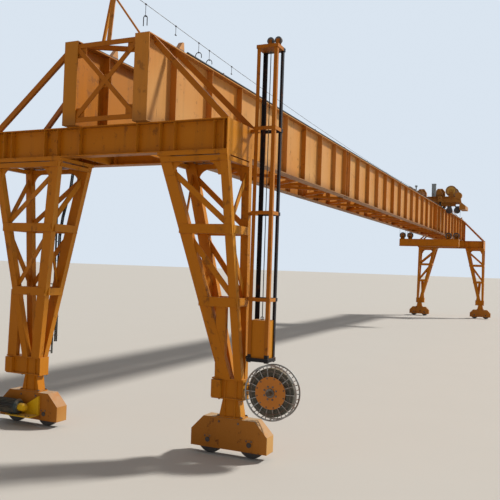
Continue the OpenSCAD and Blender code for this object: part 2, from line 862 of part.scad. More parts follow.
// Brake drum in its saddle on the trolley's sloping end.
module brake() {
    front = trolley_y - end_w / 2 + 20;
    rise = (brake_d / 2 + brake_clear) * norm([1, slope_rate]);
    translate([brake_x, front, slope_z(brake_x) + rise]) rotate([-90, 0, 0]) union() {
        cylinder(d = brake_d, h = brake_w, $fn = 48);
        cylinder(d = brake_d * 0.5, h = brake_w + 60, $fn = 32);
    }
    translate([0, front + brake_w + 10, 0]) rotate([90, 0, 0]) linear_extrude(brake_w - 20) polygon([
        [brake_x - 110, slope_z(brake_x - 110) + gap], [brake_x + 110, slope_z(brake_x + 110) + gap],
        [brake_x + 70, slope_z(brake_x) + rise], [brake_x - 70, slope_z(brake_x) + rise]]);
}

// Fall of the trolley's sloping end per millimetre, and its height at x.
slope_rate = (deck_z - 4 - end_top) / (trolley_len / 2 - deck_half + 4);
function slope_z(x) = deck_z - 4 - slope_rate * (x - deck_half + 4);

module bearing_pedestal(x, y) {
    height = drum_z - deck_z;
    translate([x, y, 0]) rotate([90, 0, 0]) linear_extrude(pedestal_t - 2, center = true) difference() {
        union() {
            polygon([[-110, 0], [110, 0], [55, height], [-55, height]]);
            translate([0, height]) circle(d = 110, $fn = 40);
        }
        translate([0, height]) circle(d = drum_axle + 2 * running, $fn = 40);
    }
}

cabinet = [150, 160, 520];
cabinet_x = 230;
cabinet_setback = 600;
cabinet_y = trolley_y - cabinet_setback;
lamp_x = -480;
lamp_d = 48;
lamp_h = 470;

// Upright control cabinet, and a lamp post beside it.
module control_cabinet() {
    color("lightgray") {
        translate([cabinet_x - cabinet.x / 2, cabinet_y, deck_z]) cube(cabinet);
        translate([lamp_x, cabinet_y + cabinet.y / 2, deck_z]) union() {
            cylinder(d = lamp_d, h = lamp_h, $fn = 24);
            translate([0, 0, lamp_h - 90]) cylinder(d1 = lamp_d, d2 = 2.2 * lamp_d, h = 50, $fn = 24);
            translate([0, 0, lamp_h - 40]) cylinder(d = 2.2 * lamp_d, h = 40, $fn = 24);
        }
    }
}

// Sheaves and ropes

sheave_w = 36;
sheave_axle = 50;
groove = rope_d + 2;

module sheave(place, pitch) {
    rim = pitch + 2 * rope_d;
    root = pitch - rope_d - 2 * gap;
    translate(place) rotate([90, 0, 0]) rotate_extrude($fn = 64)
        polygon([[0, -sheave_w / 2], [rim / 2, -sheave_w / 2], [rim / 2, -groove / 2 - 2],
            [root / 2 + 3, -groove / 2], [root / 2, 0], [root / 2 + 3, groove / 2],
            [rim / 2, groove / 2 + 2], [rim / 2, sheave_w / 2], [0, sheave_w / 2]]);
}

block_gap = 44;
block_cheek = 14;
block_half = 85;

// A sheave between two cheek plates that taper from their seat at z = seat to the axle.
module sheave_block(place, seat) {
    up = seat > place.z ? 1 : -1;
    union() {
        sheave(place, sheave_d);
        disc_y(place, sheave_axle, block_gap + 2 * block_cheek, 32);
        for (s = [-1, 1]) translate([place.x, place.y + s * (block_gap + block_cheek) / 2, 0])
            rotate([90, 0, 0]) linear_extrude(block_cheek, center = true) union() {
                polygon([[-block_half, seat], [block_half, seat], [sheave_axle, place.z], [-sheave_axle, place.z]]);
                translate([0, place.z]) circle(r = sheave_axle, $fn = 32);
            }
    }
}

module trolley_sheaves() {
    color(dark) both_sides() for (x = [sheave_in, sheave_out])
        sheave_block([x, trolley_y, upper_sheave_z], deck_low);
}

function rope_falls() = [for (x = [sheave_in, sheave_out]) for (s = [-1, 1]) x + s * sheave_d / 2];

module hoist_ropes() {
    color("black") both_sides() for (x = rope_falls())
        translate([x, trolley_y, lower_sheave_z])
            cylinder(d = rope_d, h = upper_sheave_z - lower_sheave_z, $fn = 8);
}

lift_clear = 15;
lift_top = lower_sheave_z - sheave_d / 2 - rope_d - lift_clear;

module lifting_sheaves() {
    color(dark) both_sides() for (x = [sheave_in, sheave_out])
        sheave_block([x, trolley_y, lower_sheave_z], lift_top);
}

lift_w = 190;
lift_plate = 12;
lift_rim = 15;

// Spreader beam: two plates between a top and a bottom flange, closed at the ends.
module lifting_beam() {
    half = lift_len / 2;
    color(steel) translate([0, trolley_y, lift_top]) union() {
        for (s = [-1, 1]) translate([0, s * (lift_w - lift_plate) / 2, 0])
            block([-half, -lift_plate / 2, -lift_h], [half, lift_plate / 2, 0]);
        for (z = [-lift_h, -lift_plate])
            block([-half, -lift_w / 2 - lift_rim, z], [half, lift_w / 2 + lift_rim, z + lift_plate]);
        both_sides() block([half - lift_plate, -lift_w / 2, -lift_h], [half, lift_w / 2, 0]);
    }
}

// Counterweight tower and cable reel, on the near right leg

tower_gap = 110;
tower_setback = 120;
tower_x = beam_len / 2 + tower_gap;
tower_y = end_y + foot_y - tower_setback;
tower_low = reel_z + reel_d / 2 + 15;
post = 42;
post_t = 6;
ring_levels = [1100, 1770, 2740, 3690];
arm_w = 56;
ring_h = 40;
ring_t = 8;

module tower_post(x, y, sx, sy) {
    translate([x, y, tower_low]) linear_extrude(tower_z - tower_low)
        mirror([sx < 0 ? 1 : 0, 0]) mirror([0, sy < 0 ? 1 : 0])
            polygon([[0, 0], [post, 0], [post, post_t], [post_t, post_t], [post_t, post], [0, post]]);
}

// Ring around the tower with an arm back to the leg's rear column or the portal beam.
module tower_ring(z) {
    difference() {
        block([tower_x - ring_t, tower_y - ring_t, z],
            [tower_x + tower_w + ring_t, tower_y + tower_d + ring_t, z + ring_h]);
        block([tower_x, tower_y, z - 1], [tower_x + tower_w, tower_y + tower_d, z + ring_h + 1]);
    }
    held = z > beam_low ? [beam_len / 2, head_back, z] : column_at(z, false, false);
    meets_strut = abs(z + ring_h / 2 - lower_strut_z) < (strut_w + ring_h) / 2;
    face = meets_strut ? side_strut_face(lower_strut_z, strut_w, false) : held.x;
    block([face + gap, held.y - column_d / 2 - arm_w / 2, z + 2], [tower_x - 1, held.y - column_d / 2 + arm_w / 2, z + ring_h - 2]);
}

module reel_tower() {
    color(steel) union() {
        tower_post(tower_x, tower_y, 1, 1);
        tower_post(tower_x + tower_w, tower_y, -1, 1);
        tower_post(tower_x, tower_y + tower_d, 1, -1);
        tower_post(tower_x + tower_w, tower_y + tower_d, -1, -1);
        for (z = ring_levels) tower_ring(z);
        block([tower_x - ring_t, tower_y - ring_t, tower_z - ring_h],
            [tower_x + tower_w + ring_t, tower_y + tower_d + ring_t, tower_z]);
        for (x = tower_sheave_places()) for (s = [-1, 1])
            translate([x, tower_y + tower_d / 2 + s * (cheek_gap + cheek_t) / 2, tower_z - 1])
                block([-20, -cheek_t / 2, 0], [20, cheek_t / 2, tower_sheave_rise + 14]);
    }
}

tower_sheave_d = 84;
tower_sheave_rise = 66;
cheek_gap = 36;

function tower_sheave_places() = [tower_x + tower_w * 0.48, tower_x + tower_w * 0.86];

module tower_sheaves() {
    color(dark) for (x = tower_sheave_places())
        translate([x, tower_y + tower_d / 2, tower_z + tower_sheave_rise]) rotate([90, 0, 0])
            union() {
                cylinder(d = tower_sheave_d, h = cheek_gap - 2, center = true, $fn = 40);
                cylinder(d = tower_sheave_d / 4, h = cheek_gap, center = true, $fn = 32);
            }
}

weight_low = 1140;
weight_clear = 8;

module counterweight() {
    color(steel) block([tower_x + post_t + weight_clear, tower_y + post_t + weight_clear, weight_low],
        [tower_x + tower_w - post_t - weight_clear, tower_y + tower_d - post_t - weight_clear,
        weight_low + weight_h]);
}

module counterweight_rope() {
    low = weight_low + weight_h;
    color("black") translate([tower_x + tower_w / 2, tower_y + tower_d / 2, low])
        cylinder(d = rope_d, h = tower_z - ring_h - low, $fn = 8);
}

reel_setback = 15;
reel_y = end_y + foot_y - reel_setback;
reel_hub_d = 360;
rim_w = 12;
rim_h = 16;
reel_axle = 50;
spoke_w = 9;

// Open reel: two rims with spokes, cross rods between them and a disc hub.
module cable_reel() {
    r = reel_d / 2;
    color(dark) translate([reel_x, reel_y, reel_z]) rotate([90, 0, 0]) union() {
        for (s = [-1, 1]) translate([0, 0, s * (reel_w / 2 - rim_w / 2)]) {
            difference() {
                cylinder(d = reel_d, h = rim_w, center = true, $fn = 72);
                cylinder(d = reel_d - 2 * rim_h, h = 2 * rim_w, center = true, $fn = 72);
            }
            for (i = [0 : spoke_count - 1]) rotate(i * 360 / spoke_count)
                block([reel_hub_d / 2 - rim_h, -spoke_w / 2, -spoke_w / 2], [r - rim_h / 2, spoke_w / 2, spoke_w / 2]);
        }
        cylinder(d = reel_hub_d, h = reel_w, center = true, $fn = 64);
        cylinder(d = reel_axle, h = reel_w + 2 * reel_reach, center = true, $fn = 32);
    }
}

reel_reach = 70;

// Bearing arm that carries the reel from the foot of the leg.
module reel_bracket() {
    y = reel_y + reel_w / 2 + 18;
    arm = 60;
    color(steel) difference() {
        union() {
            block([foot_outer + foot_rim + gap, y, reel_z - arm / 2], [reel_x, y + 30, reel_z + arm / 2]);
            disc_y([reel_x, y + 15, reel_z], 110, 30, 40);
        }
        disc_y([reel_x, y + 15, reel_z], reel_axle + 2 * running, 200, 40);
    }
}

right_girder();
left_girder();
crane_rails();
end_frames();
cross_frames();
lateral_bracing();
near_cross_beam();
far_cross_beam();
corner_struts();
near_right_leg();
near_left_leg();
far_right_leg();
far_left_leg();
leg_feet();
near_bogies();
far_bogies();
travel_drives();
ladder();
wheel_1();
wheel_2();
wheel_3();
wheel_4();
wheel_5();
wheel_6();
wheel_7();
wheel_8();
wire_masts();
messenger_wire();
trolley_frame();
trolley_wheels();
right_drum();
left_drum();
winch_motor();
control_cabinet();
trolley_sheaves();
hoist_ropes();
lifting_beam();
lifting_sheaves();
reel_tower();
tower_sheaves();
counterweight();
counterweight_rope();
cable_reel();
reel_bracket();
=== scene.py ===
import math

import bmesh
import bpy
from mathutils import Matrix, Vector


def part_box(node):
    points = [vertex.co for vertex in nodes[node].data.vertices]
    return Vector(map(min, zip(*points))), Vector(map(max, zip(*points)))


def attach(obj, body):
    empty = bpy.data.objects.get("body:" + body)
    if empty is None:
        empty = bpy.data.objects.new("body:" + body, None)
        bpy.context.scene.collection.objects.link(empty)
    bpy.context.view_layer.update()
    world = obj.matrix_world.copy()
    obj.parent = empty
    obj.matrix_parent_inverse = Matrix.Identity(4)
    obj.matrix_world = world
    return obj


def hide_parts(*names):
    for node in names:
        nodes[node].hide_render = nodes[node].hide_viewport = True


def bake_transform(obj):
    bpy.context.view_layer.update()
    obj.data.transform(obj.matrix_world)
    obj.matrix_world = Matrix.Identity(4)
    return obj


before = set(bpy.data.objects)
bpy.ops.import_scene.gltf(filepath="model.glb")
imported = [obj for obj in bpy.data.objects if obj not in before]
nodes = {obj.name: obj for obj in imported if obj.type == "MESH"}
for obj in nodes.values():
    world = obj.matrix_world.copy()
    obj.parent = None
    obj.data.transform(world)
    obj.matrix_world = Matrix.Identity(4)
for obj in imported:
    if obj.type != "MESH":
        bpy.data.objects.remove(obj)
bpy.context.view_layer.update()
print("frame loaded:", len(nodes), "nodes")


# Node helpers, shared by the effect groups and the materials

def link(tree, source, target):
    tree.links.new(source, target)


def feed(tree, socket, value):
    # a number or a colour is set on the socket, anything else is linked to it
    if isinstance(value, (int, float)):
        socket.default_value = value
    elif isinstance(value, tuple):
        socket.default_value = (*value, 1.0)
    else:
        link(tree, value, socket)


def noise(tree, vector, scale, detail=4.0, roughness=0.55):
    node = tree.nodes.new("ShaderNodeTexNoise")
    node.inputs["Scale"].default_value = scale
    node.inputs["Detail"].default_value = detail
    node.inputs["Roughness"].default_value = roughness
    link(tree, vector, node.inputs["Vector"])
    return node.outputs["Fac"]


def stretched(tree, vector, scale, location=(0, 0, 0)):
    node = tree.nodes.new("ShaderNodeMapping")
    node.inputs["Scale"].default_value = scale
    node.inputs["Location"].default_value = location
    link(tree, vector, node.inputs["Vector"])
    return node.outputs["Vector"]


def axes(tree, vector):
    node = tree.nodes.new("ShaderNodeSeparateXYZ")
    link(tree, vector, node.inputs[0])
    return node.outputs["X"], node.outputs["Y"], node.outputs["Z"]


def between(tree, value, low, high):
    node = tree.nodes.new("ShaderNodeMapRange")
    node.interpolation_type = "SMOOTHSTEP"
    node.inputs["From Min"].default_value = low
    node.inputs["From Max"].default_value = high
    link(tree, value, node.inputs["Value"])
    return node.outputs["Result"]


def reckon(tree, operation, a, b=None):
    node = tree.nodes.new("ShaderNodeMath")
    node.operation = operation
    feed(tree, node.inputs[0], a)
    if b is not None:
        feed(tree, node.inputs[1], b)
    return node.outputs[0]


def times(tree, a, b):
    return reckon(tree, "MULTIPLY", a, b)


def plus(tree, a, b):
    return reckon(tree, "ADD", a, b)


def tint(tree, factor, a, b):
    node = tree.nodes.new("ShaderNodeMix")
    node.data_type = "RGBA"
    for number, value in ((0, factor), (6, a), (7, b)):
        feed(tree, node.inputs[number], value)
    return node.outputs[2]


def axleDistance(tree, place, node):
    # how far a point lies from the axle of a round node, which runs along Y
    low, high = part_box(node)
    centred = stretched(tree, place, (1, 1, 1), (-(low.x + high.x) / 2, 0, -(low.z + high.z) / 2))
    x, _, z = axes(tree, centred)
    return reckon(tree, "SQRT", plus(tree, times(tree, x, x), times(tree, z, z)))


def effectGroup(name, inputs, outputs):
    tree = bpy.data.node_groups.new(name, "ShaderNodeTree")
    kinds = {"vector": "NodeSocketVector", "colour": "NodeSocketColor", "value": "NodeSocketFloat"}
    for label, kind in inputs:
        tree.interface.new_socket(label, in_out="INPUT", socket_type=kinds[kind])
    for label, kind in outputs:
        tree.interface.new_socket(label, in_out="OUTPUT", socket_type=kinds[kind])
    return tree, tree.nodes.new("NodeGroupInput").outputs, tree.nodes.new("NodeGroupOutput").inputs


def useEffect(tree, effect, place, settings):
    node = tree.nodes.new("ShaderNodeGroup")
    node.node_tree = effect
    link(tree, place, node.inputs["Vector"])
    for label, value in settings.items():
        feed(tree, node.inputs[label], value)
    return node.outputs


# Paint that has stood outdoors: fading mixed with painted sheen on sides and tops, rain streaks, rust on
# edges and in patches, dust on top, and painted shade on faces that look down
wearValues = {
    "dust": (0.50, 0.40, 0.28),
    # dark colour of rain streaks, and of painted shade on faces that look down
    "grimeAndShade": (0.045, 0.026, 0.014),
    "fadeScale": 0.55,
    "patchScale": 11.0,
    "grainScale": 70.0,
    "streakScale": (7.0, 7.0, 0.55),
    "streakStrength": 0.36,
    "edgeWidth": 0.007,
    "edgeRust": 0.75,
    "roughest": 0.36,
}


def makeWeatheredPaint():
    values = wearValues
    tree, given, result = effectGroup(
        "weatheredPaint",
        [("Vector", "vector"), ("Paint", "colour"), ("SheenAndFaded", "colour"), ("Rust", "colour"),
         ("SheenAndFading", "value"), ("Rusting", "value"), ("Dusting", "value")],
        [("Color", "colour"), ("Roughness", "value"), ("Height", "value")])
    vector = given["Vector"]
    wide = noise(tree, vector, values["fadeScale"], 3.0)
    patch = noise(tree, vector, values["patchScale"], 6.0, 0.62)
    grain = noise(tree, vector, values["grainScale"], 3.0)
    streak = noise(tree, stretched(tree, vector, values["streakScale"]), 1.0, 5.0, 0.6)
    geometry = tree.nodes.new("ShaderNodeNewGeometry")
    x, _, z = axes(tree, geometry.outputs["Normal"])
    facingUp = between(tree, z, 0.45, 0.95)
    facingDown = between(tree, times(tree, z, -1.0), 0.5, 0.95)
    facingSide = between(tree, reckon(tree, "ABSOLUTE", x), 0.55, 0.95)
    bevel = tree.nodes.new("ShaderNodeBevel")
    bevel.samples = 6
    bevel.inputs["Radius"].default_value = values["edgeWidth"]
    turned = tree.nodes.new("ShaderNodeVectorMath")
    turned.operation = "DOT_PRODUCT"
    link(tree, bevel.outputs["Normal"], turned.inputs[0])
    link(tree, geometry.outputs["Normal"], turned.inputs[1])
    edge = between(tree, reckon(tree, "SUBTRACT", 1.0, turned.outputs["Value"]), 0.02, 0.2)

    # sides and tops go paler in wide clouds: partly faded paint, partly painted sheen where light falls on
    # them
    sheenAndFadeFaces = reckon(tree, "MAXIMUM", times(tree, facingSide, 0.75), times(tree, facingUp, 0.6))
    fadeAndSheenMask = times(tree, plus(tree, 0.10, sheenAndFadeFaces), plus(tree, 0.45, between(tree, wide, 0.3, 0.75)))
    colour = tint(tree, times(tree, fadeAndSheenMask, given["SheenAndFading"]), given["Paint"], given["SheenAndFaded"])
    streaks = times(tree, between(tree, streak, 0.48, 0.75), values["streakStrength"])
    colour = tint(tree, streaks, colour, tint(tree, 0.55, colour, values["grimeAndShade"]))
    colour = tint(tree, times(tree, between(tree, grain, 0.35, 0.8), 0.12), colour, given["SheenAndFaded"])
    # rust on worn edges and in spots where a patch and a streak meet
    worn = times(tree, edge, between(tree, patch, 0.42, 0.6))
    meeting = times(tree, patch, plus(tree, streak, 0.5))
    spots = times(tree, between(tree, meeting, 0.6, 0.72), given["Rusting"])
    rust = reckon(tree, "MAXIMUM", times(tree, worn, values["edgeRust"]), spots)
    colour = tint(tree, rust, colour, given["Rust"])
    # dust on top; faces that look down are darkened, which is painted shade
    dusty = times(tree, times(tree, facingUp, given["Dusting"]), between(tree, patch, 0.2, 0.65))
    colour = tint(tree, dusty, colour, values["dust"])
    colour = tint(tree, times(tree, facingDown, 0.4), colour, values["grimeAndShade"])
    link(tree, colour, result["Color"])
    rough = plus(tree, times(tree, rust, 0.3), times(tree, patch, 0.22))
    rough = plus(tree, plus(tree, rough, times(tree, dusty, 0.3)), values["roughest"])
    link(tree, rough, result["Roughness"])
    lift = plus(tree, times(tree, grain, 0.35), times(tree, patch, 0.3))
    link(tree, reckon(tree, "SUBTRACT", lift, times(tree, rust, 0.4)), result["Height"])
    return tree


# Bare or greasy steel: scratches, rust bloom and oil
steelValues = {
    "bloomScale": 5.0,
    "fineScale": 60.0,
    "scratchScale": (90.0, 6.0, 90.0),
    "oilScale": 2.3,
    "scratch": (0.42, 0.41, 0.39),
    "oil": (0.012, 0.010, 0.009),
}


def makeWornSteel():
    values = steelValues
    tree, given, result = effectGroup(
        "wornSteel",
        [("Vector", "vector"), ("Steel", "colour"), ("Rust", "colour"),
         ("Rusting", "value"), ("Oiling", "value")],
        [("Color", "colour"), ("Roughness", "value"), ("Metallic", "value"), ("Height", "value")])
    vector = given["Vector"]
    bloom = noise(tree, vector, values["bloomScale"], 6.0, 0.65)
    fine = noise(tree, vector, values["fineScale"], 4.0, 0.6)
    scratch = noise(tree, stretched(tree, vector, values["scratchScale"]), 1.0, 2.0)
    oil = noise(tree, vector, values["oilScale"], 3.0)
    mottled = plus(tree, bloom, times(tree, fine, 0.25))
    rusted = times(tree, between(tree, mottled, 0.52, 0.78), given["Rusting"])
    colour = tint(tree, times(tree, scratch, 0.25), given["Steel"], values["scratch"])
    colour = tint(tree, rusted, colour, given["Rust"])
    oily = times(tree, between(tree, oil, 0.4, 0.65), given["Oiling"])
    colour = tint(tree, times(tree, oily, 0.7), colour, values["oil"])
    link(tree, colour, result["Color"])
    rough = plus(tree, times(tree, rusted, 0.35), plus(tree, times(tree, fine, 0.2), 0.28))
    link(tree, rough, result["Roughness"])
    link(tree, reckon(tree, "SUBTRACT", 0.85, times(tree, rusted, 0.75)), result["Metallic"])
    link(tree, plus(tree, times(tree, bloom, 0.4), times(tree, fine, 0.4)), result["Height"])
    return tree


weatheredPaint = makeWeatheredPaint()
wornSteel = makeWornSteel()


def emptyMaterial(name):
    material = bpy.data.materials.new(name)
    material.use_nodes = True
    tree = material.node_tree
    shader = tree.nodes["Principled BSDF"]
    place = tree.nodes.new("ShaderNodeTexCoord").outputs["Object"]
    return material, tree, shader, place


def finishShader(tree, shader, colour, roughness, height, metallic=0.0, bump=(0.003, 0.5)):
    # bump is how deep the relief is, and how strongly it shows
    feed(tree, shader.inputs["Base Color"], colour)
    feed(tree, shader.inputs["Roughness"], roughness)
    feed(tree, shader.inputs["Metallic"], metallic)
    relief = tree.nodes.new("ShaderNodeBump")
    relief.inputs["Distance"].default_value, relief.inputs["Strength"].default_value = bump
    link(tree, height, relief.inputs["Height"])
    link(tree, relief.outputs["Normal"], shader.inputs["Normal"])


# the faded colour and its amount give both faded paint and painted sheen on sides and tops
def paintedSteel(name, paint, fadedAndSheen, fadingAndSheen, rusting, dusting, panels=None, swap=None):
    material, tree, shader, place = emptyMaterial(name)
    wear = {"Rust": (0.13, 0.045, 0.016), "SheenAndFading": fadingAndSheen, "Rusting": rusting, "Dusting": dusting}
    worn = useEffect(tree, weatheredPaint, place, {"Paint": paint, "SheenAndFaded": fadedAndSheen, **wear})
    colour = worn["Color"]
    if panels:
        colour = panels(tree, place, colour)
    if swap:  # part of the piece is painted another colour
        mask, other = swap(tree, place)
        second = useEffect(tree, weatheredPaint, place, {"Paint": other, "SheenAndFaded": other, **wear})
        colour = tint(tree, mask, colour, second["Color"])
    shader.inputs["Specular IOR Level"].default_value = 0.16
    finishShader(tree, shader, colour, worn["Roughness"], worn["Height"], bump=(0.004, 0.45))
    return material


def bareSteel(name, steel, rusting, oiling):
    material, tree, shader, place = emptyMaterial(name)
    worn = useEffect(tree, wornSteel, place,
                     {"Steel": steel, "Rust": (0.12, 0.05, 0.022), "Rusting": rusting, "Oiling": oiling})
    finishShader(tree, shader, worn["Color"], worn["Roughness"], worn["Height"], worn["Metallic"])
    return material


panelValues = {
    "first": -13.875,
    "pitch": 0.925,
    "bleached": (0.66, 0.40, 0.17),
    "farShade": (0.47, 0.150, 0.014),
    # painted shade towards the far end of the webs
    "footTone": (0.10, 0.040, 0.016),
    "footZ": (3.95, 3.74),
}


def panelTones(tree, place, colour):
    # each web panel between two stiffeners took the weather a little differently; on top of that the webs get
    # painted shade towards the far end, and go darker towards the foot of the web
    values = panelValues
    _, y, z = axes(tree, place)
    number = reckon(tree, "FLOOR", reckon(tree, "DIVIDE", plus(tree, y, -values["first"]), values["pitch"]))
    cell = tree.nodes.new("ShaderNodeTexWhiteNoise")
    cell.noise_dimensions = "1D"
    link(tree, number, cell.inputs["W"])
    pale = tint(tree, times(tree, cell.outputs["Value"], 0.3), colour, values["bleached"])
    # painted shade: the webs darken towards the far end
    pale = tint(tree, times(tree, between(tree, y, -12.0, 14.0), 0.5), pale, values["farShade"])
    return tint(tree, times(tree, between(tree, z, *values["footZ"]), 0.45), pale, values["footTone"])


postValues = {"deep": 0.060, "wide": 0.262, "ring": 0.09, "black": (0.014, 0.012, 0.014)}


def towerPosts(tree, place):
    # the two rear posts are painted black, which on the back-right post is painted shade and on the back-left
    # stands for a black cable bundle; the foot ring is dark too, and the front posts keep the paint
    values = postValues
    x, y, z = axes(tree, place)
    low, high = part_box("reel_tower")
    back = reckon(tree, "GREATER_THAN", y, high.y - values["deep"])
    outside = reckon(tree, "GREATER_THAN", x, high.x - values["wide"])
    lowest = reckon(tree, "LESS_THAN", z, low.z + values["ring"])
    return reckon(tree, "MAXIMUM", times(tree, back, outside), lowest), values["black"]


drumPaint = {
    "hub": (0.60, 0.33, 0.035),
    "rim": (0.34, 0.155, 0.028),
    "hubEdge": (0.150, 0.175),
    "wear": {"Rust": (0.10, 0.038, 0.016), "SheenAndFading": 0.5, "Rusting": 0.8, "Dusting": 0.4},
}


def drumFinish(name, node):
    # brown rim, yellow hub: rings measured from the drum's own axle
    values = drumPaint
    material, tree, shader, place = emptyMaterial(name)
    far = axleDistance(tree, place, node)
    base = tint(tree, between(tree, far, *values["hubEdge"]), values["hub"], values["rim"])
    fadedAndSheen = tint(tree, 0.25, base, wearValues["dust"])
    worn = useEffect(tree, weatheredPaint, place, {"Paint": base, "SheenAndFaded": fadedAndSheen, **values["wear"]})
    finishShader(tree, shader, worn["Color"], worn["Roughness"], worn["Height"])
    return material


reelPaint = {
    "discRadius": 0.18,
    "axle": (0.05, 0.03, 0.02),
    "disc": (0.58, 0.175, 0.003),
    "discWear": {"SheenAndFaded": (0.60, 0.30, 0.06), "Rust": (0.15, 0.05, 0.016),
                 "SheenAndFading": 0.1, "Rusting": 0.35, "Dusting": 0.1},
    "zinc": {"Steel": (0.34, 0.34, 0.33), "Rust": (0.22, 0.12, 0.07), "Rusting": 0.75, "Oiling": 0.1},
}


def reelFinish(name, node):
    # galvanised rims and spokes round an orange disc
    values = reelPaint
    material, tree, shader, place = emptyMaterial(name)
    far = axleDistance(tree, place, node)
    disc = tint(tree, between(tree, far, 0.03, 0.05), values["axle"], values["disc"])
    paint = useEffect(tree, weatheredPaint, place, {"Paint": disc, **values["discWear"]})
    steel = useEffect(tree, wornSteel, place, values["zinc"])
    outer = between(tree, far, values["discRadius"] - 0.002, values["discRadius"] + 0.001)
    colour = tint(tree, outer, paint["Color"], steel["Color"])
    finishShader(tree, shader, colour, paint["Roughness"], steel["Height"], times(tree, outer, 0.55))
    return material


stopValues = {
    "start": 13.60,
    "aboveFoot": 0.0505,
    "rust": {"Rust": (0.12, 0.045, 0.018), "Rusting": 0.6},
    "steel": {"Oiling": 0.6},
    "paint": {"SheenAndFading": 0.8, "Dusting": 0.5},
}


def railFinish(name, steelColour, paint, fadedAndSheen):
    # greasy rail steel, with painted stops at the ends
    values = stopValues
    material, tree, shader, place = emptyMaterial(name)
    _, y, z = axes(tree, place)
    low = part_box("crane_rails")[0]
    atEnd = reckon(tree, "GREATER_THAN", reckon(tree, "ABSOLUTE", y), values["start"])
    mask = times(tree, atEnd, reckon(tree, "GREATER_THAN", z, low.z + values["aboveFoot"]))
    steel = useEffect(tree, wornSteel, place, {"Steel": steelColour, **values["rust"], **values["steel"]})
    coat = useEffect(tree, weatheredPaint, place,
                     {"Paint": paint, "SheenAndFaded": fadedAndSheen, **values["rust"], **values["paint"]})
    colour = tint(tree, mask, steel["Color"], coat["Color"])
    metallic = times(tree, steel["Metallic"], reckon(tree, "SUBTRACT", 1.0, mask))
    finishShader(tree, shader, colour, steel["Roughness"], steel["Height"], metallic)
    return material


def ropeFinish(name, dark, light, across):
    # wire strands that wind round the rope, with grease between them
    material, tree, shader, place = emptyMaterial(name)
    wave = tree.nodes.new("ShaderNodeTexWave")
    wave.wave_type = "BANDS"
    wave.bands_direction = "DIAGONAL"
    wave.inputs["Scale"].default_value = across
    wave.inputs["Distortion"].default_value = 0.6
    link(tree, place, wave.inputs["Vector"])
    grease = noise(tree, place, 9.0, 5.0, 0.6)
    colour = tint(tree, wave.outputs["Fac"], dark, light)
    colour = tint(tree, between(tree, grease, 0.4, 0.7), colour, (0.018, 0.014, 0.012))
    rough = plus(tree, times(tree, grease, 0.3), 0.35)
    finishShader(tree, shader, colour, rough, wave.outputs["Fac"], 0.35, (0.002, 0.7))
    return material


paints = {  # fresh paint, faded paint that also serves as painted sheen on sides and tops, and how much fading and sheen, rust and dust there is
    "girder": ((0.56, 0.185, 0.010), (0.64, 0.335, 0.105), 0.95, 0.45, 0.7),
    # painted shade: a darker, less faded copy of the girder paint for the left girder's inner web
    "inner": ((0.50, 0.170, 0.006), (0.56, 0.210, 0.015), 0.25, 0.4, 0.6),
    "frame": ((0.52, 0.158, 0.002), (0.62, 0.275, 0.024), 0.7, 0.5, 0.4),
    "lattice": ((0.42, 0.118, 0.002), (0.51, 0.195, 0.018), 0.6, 0.65, 0.4),
    "bogie": ((0.42, 0.130, 0.005), (0.62, 0.345, 0.110), 0.95, 0.9, 0.9),
    "winch": ((0.42, 0.170, 0.026), (0.52, 0.260, 0.080), 0.6, 0.9, 0.5),
    "yellow": ((0.80, 0.450, 0.004), (0.82, 0.520, 0.070), 0.5, 0.45, 0.4),
    "motor": ((0.050, 0.066, 0.066), (0.11, 0.125, 0.120), 0.6, 0.5, 0.8),
    "cabinet": ((0.27, 0.320, 0.360), (0.40, 0.430, 0.440), 0.6, 0.35, 0.5),
    "rubber": ((0.010, 0.010, 0.011), (0.03, 0.029, 0.028), 0.5, 0.0, 0.5),
    "cable": ((0.150, 0.145, 0.120), (0.20, 0.190, 0.160), 0.8, 0.0, 0.8),
}
railColour = (0.050, 0.046, 0.044)
girderPaint = paintedSteel("girderPaint", *paints["girder"], panels=panelTones)
# the left girder wears a darker copy of the girder paint, which is painted shade on its inner web
girderPaintShaded = paintedSteel("girderPaintShaded", *paints["inner"], panels=panelTones)
framePaint = paintedSteel("framePaint", *paints["frame"])
latticePaint = paintedSteel("latticePaint", *paints["lattice"])
towerPaint = paintedSteel("towerPaint", *paints["lattice"], swap=towerPosts)
bogiePaint = paintedSteel("bogiePaint", *paints["bogie"])
winchPaint = paintedSteel("winchPaint", *paints["winch"])
yellowPaint = paintedSteel("yellowPaint", *paints["yellow"])
motorPaint = paintedSteel("motorPaint", *paints["motor"])
cabinetPaint = paintedSteel("cabinetPaint", *paints["cabinet"])
blackRubber = paintedSteel("blackRubber", *paints["rubber"])
feedCable = paintedSteel("feedCable", *paints["cable"])
railSteel = bareSteel("railSteel", railColour, rusting=0.55, oiling=0.6)
stoppedRail = railFinish("stoppedRail", railColour, *paints["girder"][:2])
wheelSteel = bareSteel("wheelSteel", (0.045, 0.043, 0.042), rusting=0.35, oiling=0.6)
boltSteel = bareSteel("boltSteel", (0.16, 0.12, 0.09), rusting=0.8, oiling=0.3)
hoistRope = ropeFinish("hoistRope", (0.030, 0.026, 0.022), (0.13, 0.12, 0.11), 60.0)
wireRope = ropeFinish("wireRope", (0.10, 0.10, 0.10), (0.34, 0.34, 0.33), 80.0)
print("materials ready:", len(bpy.data.materials))


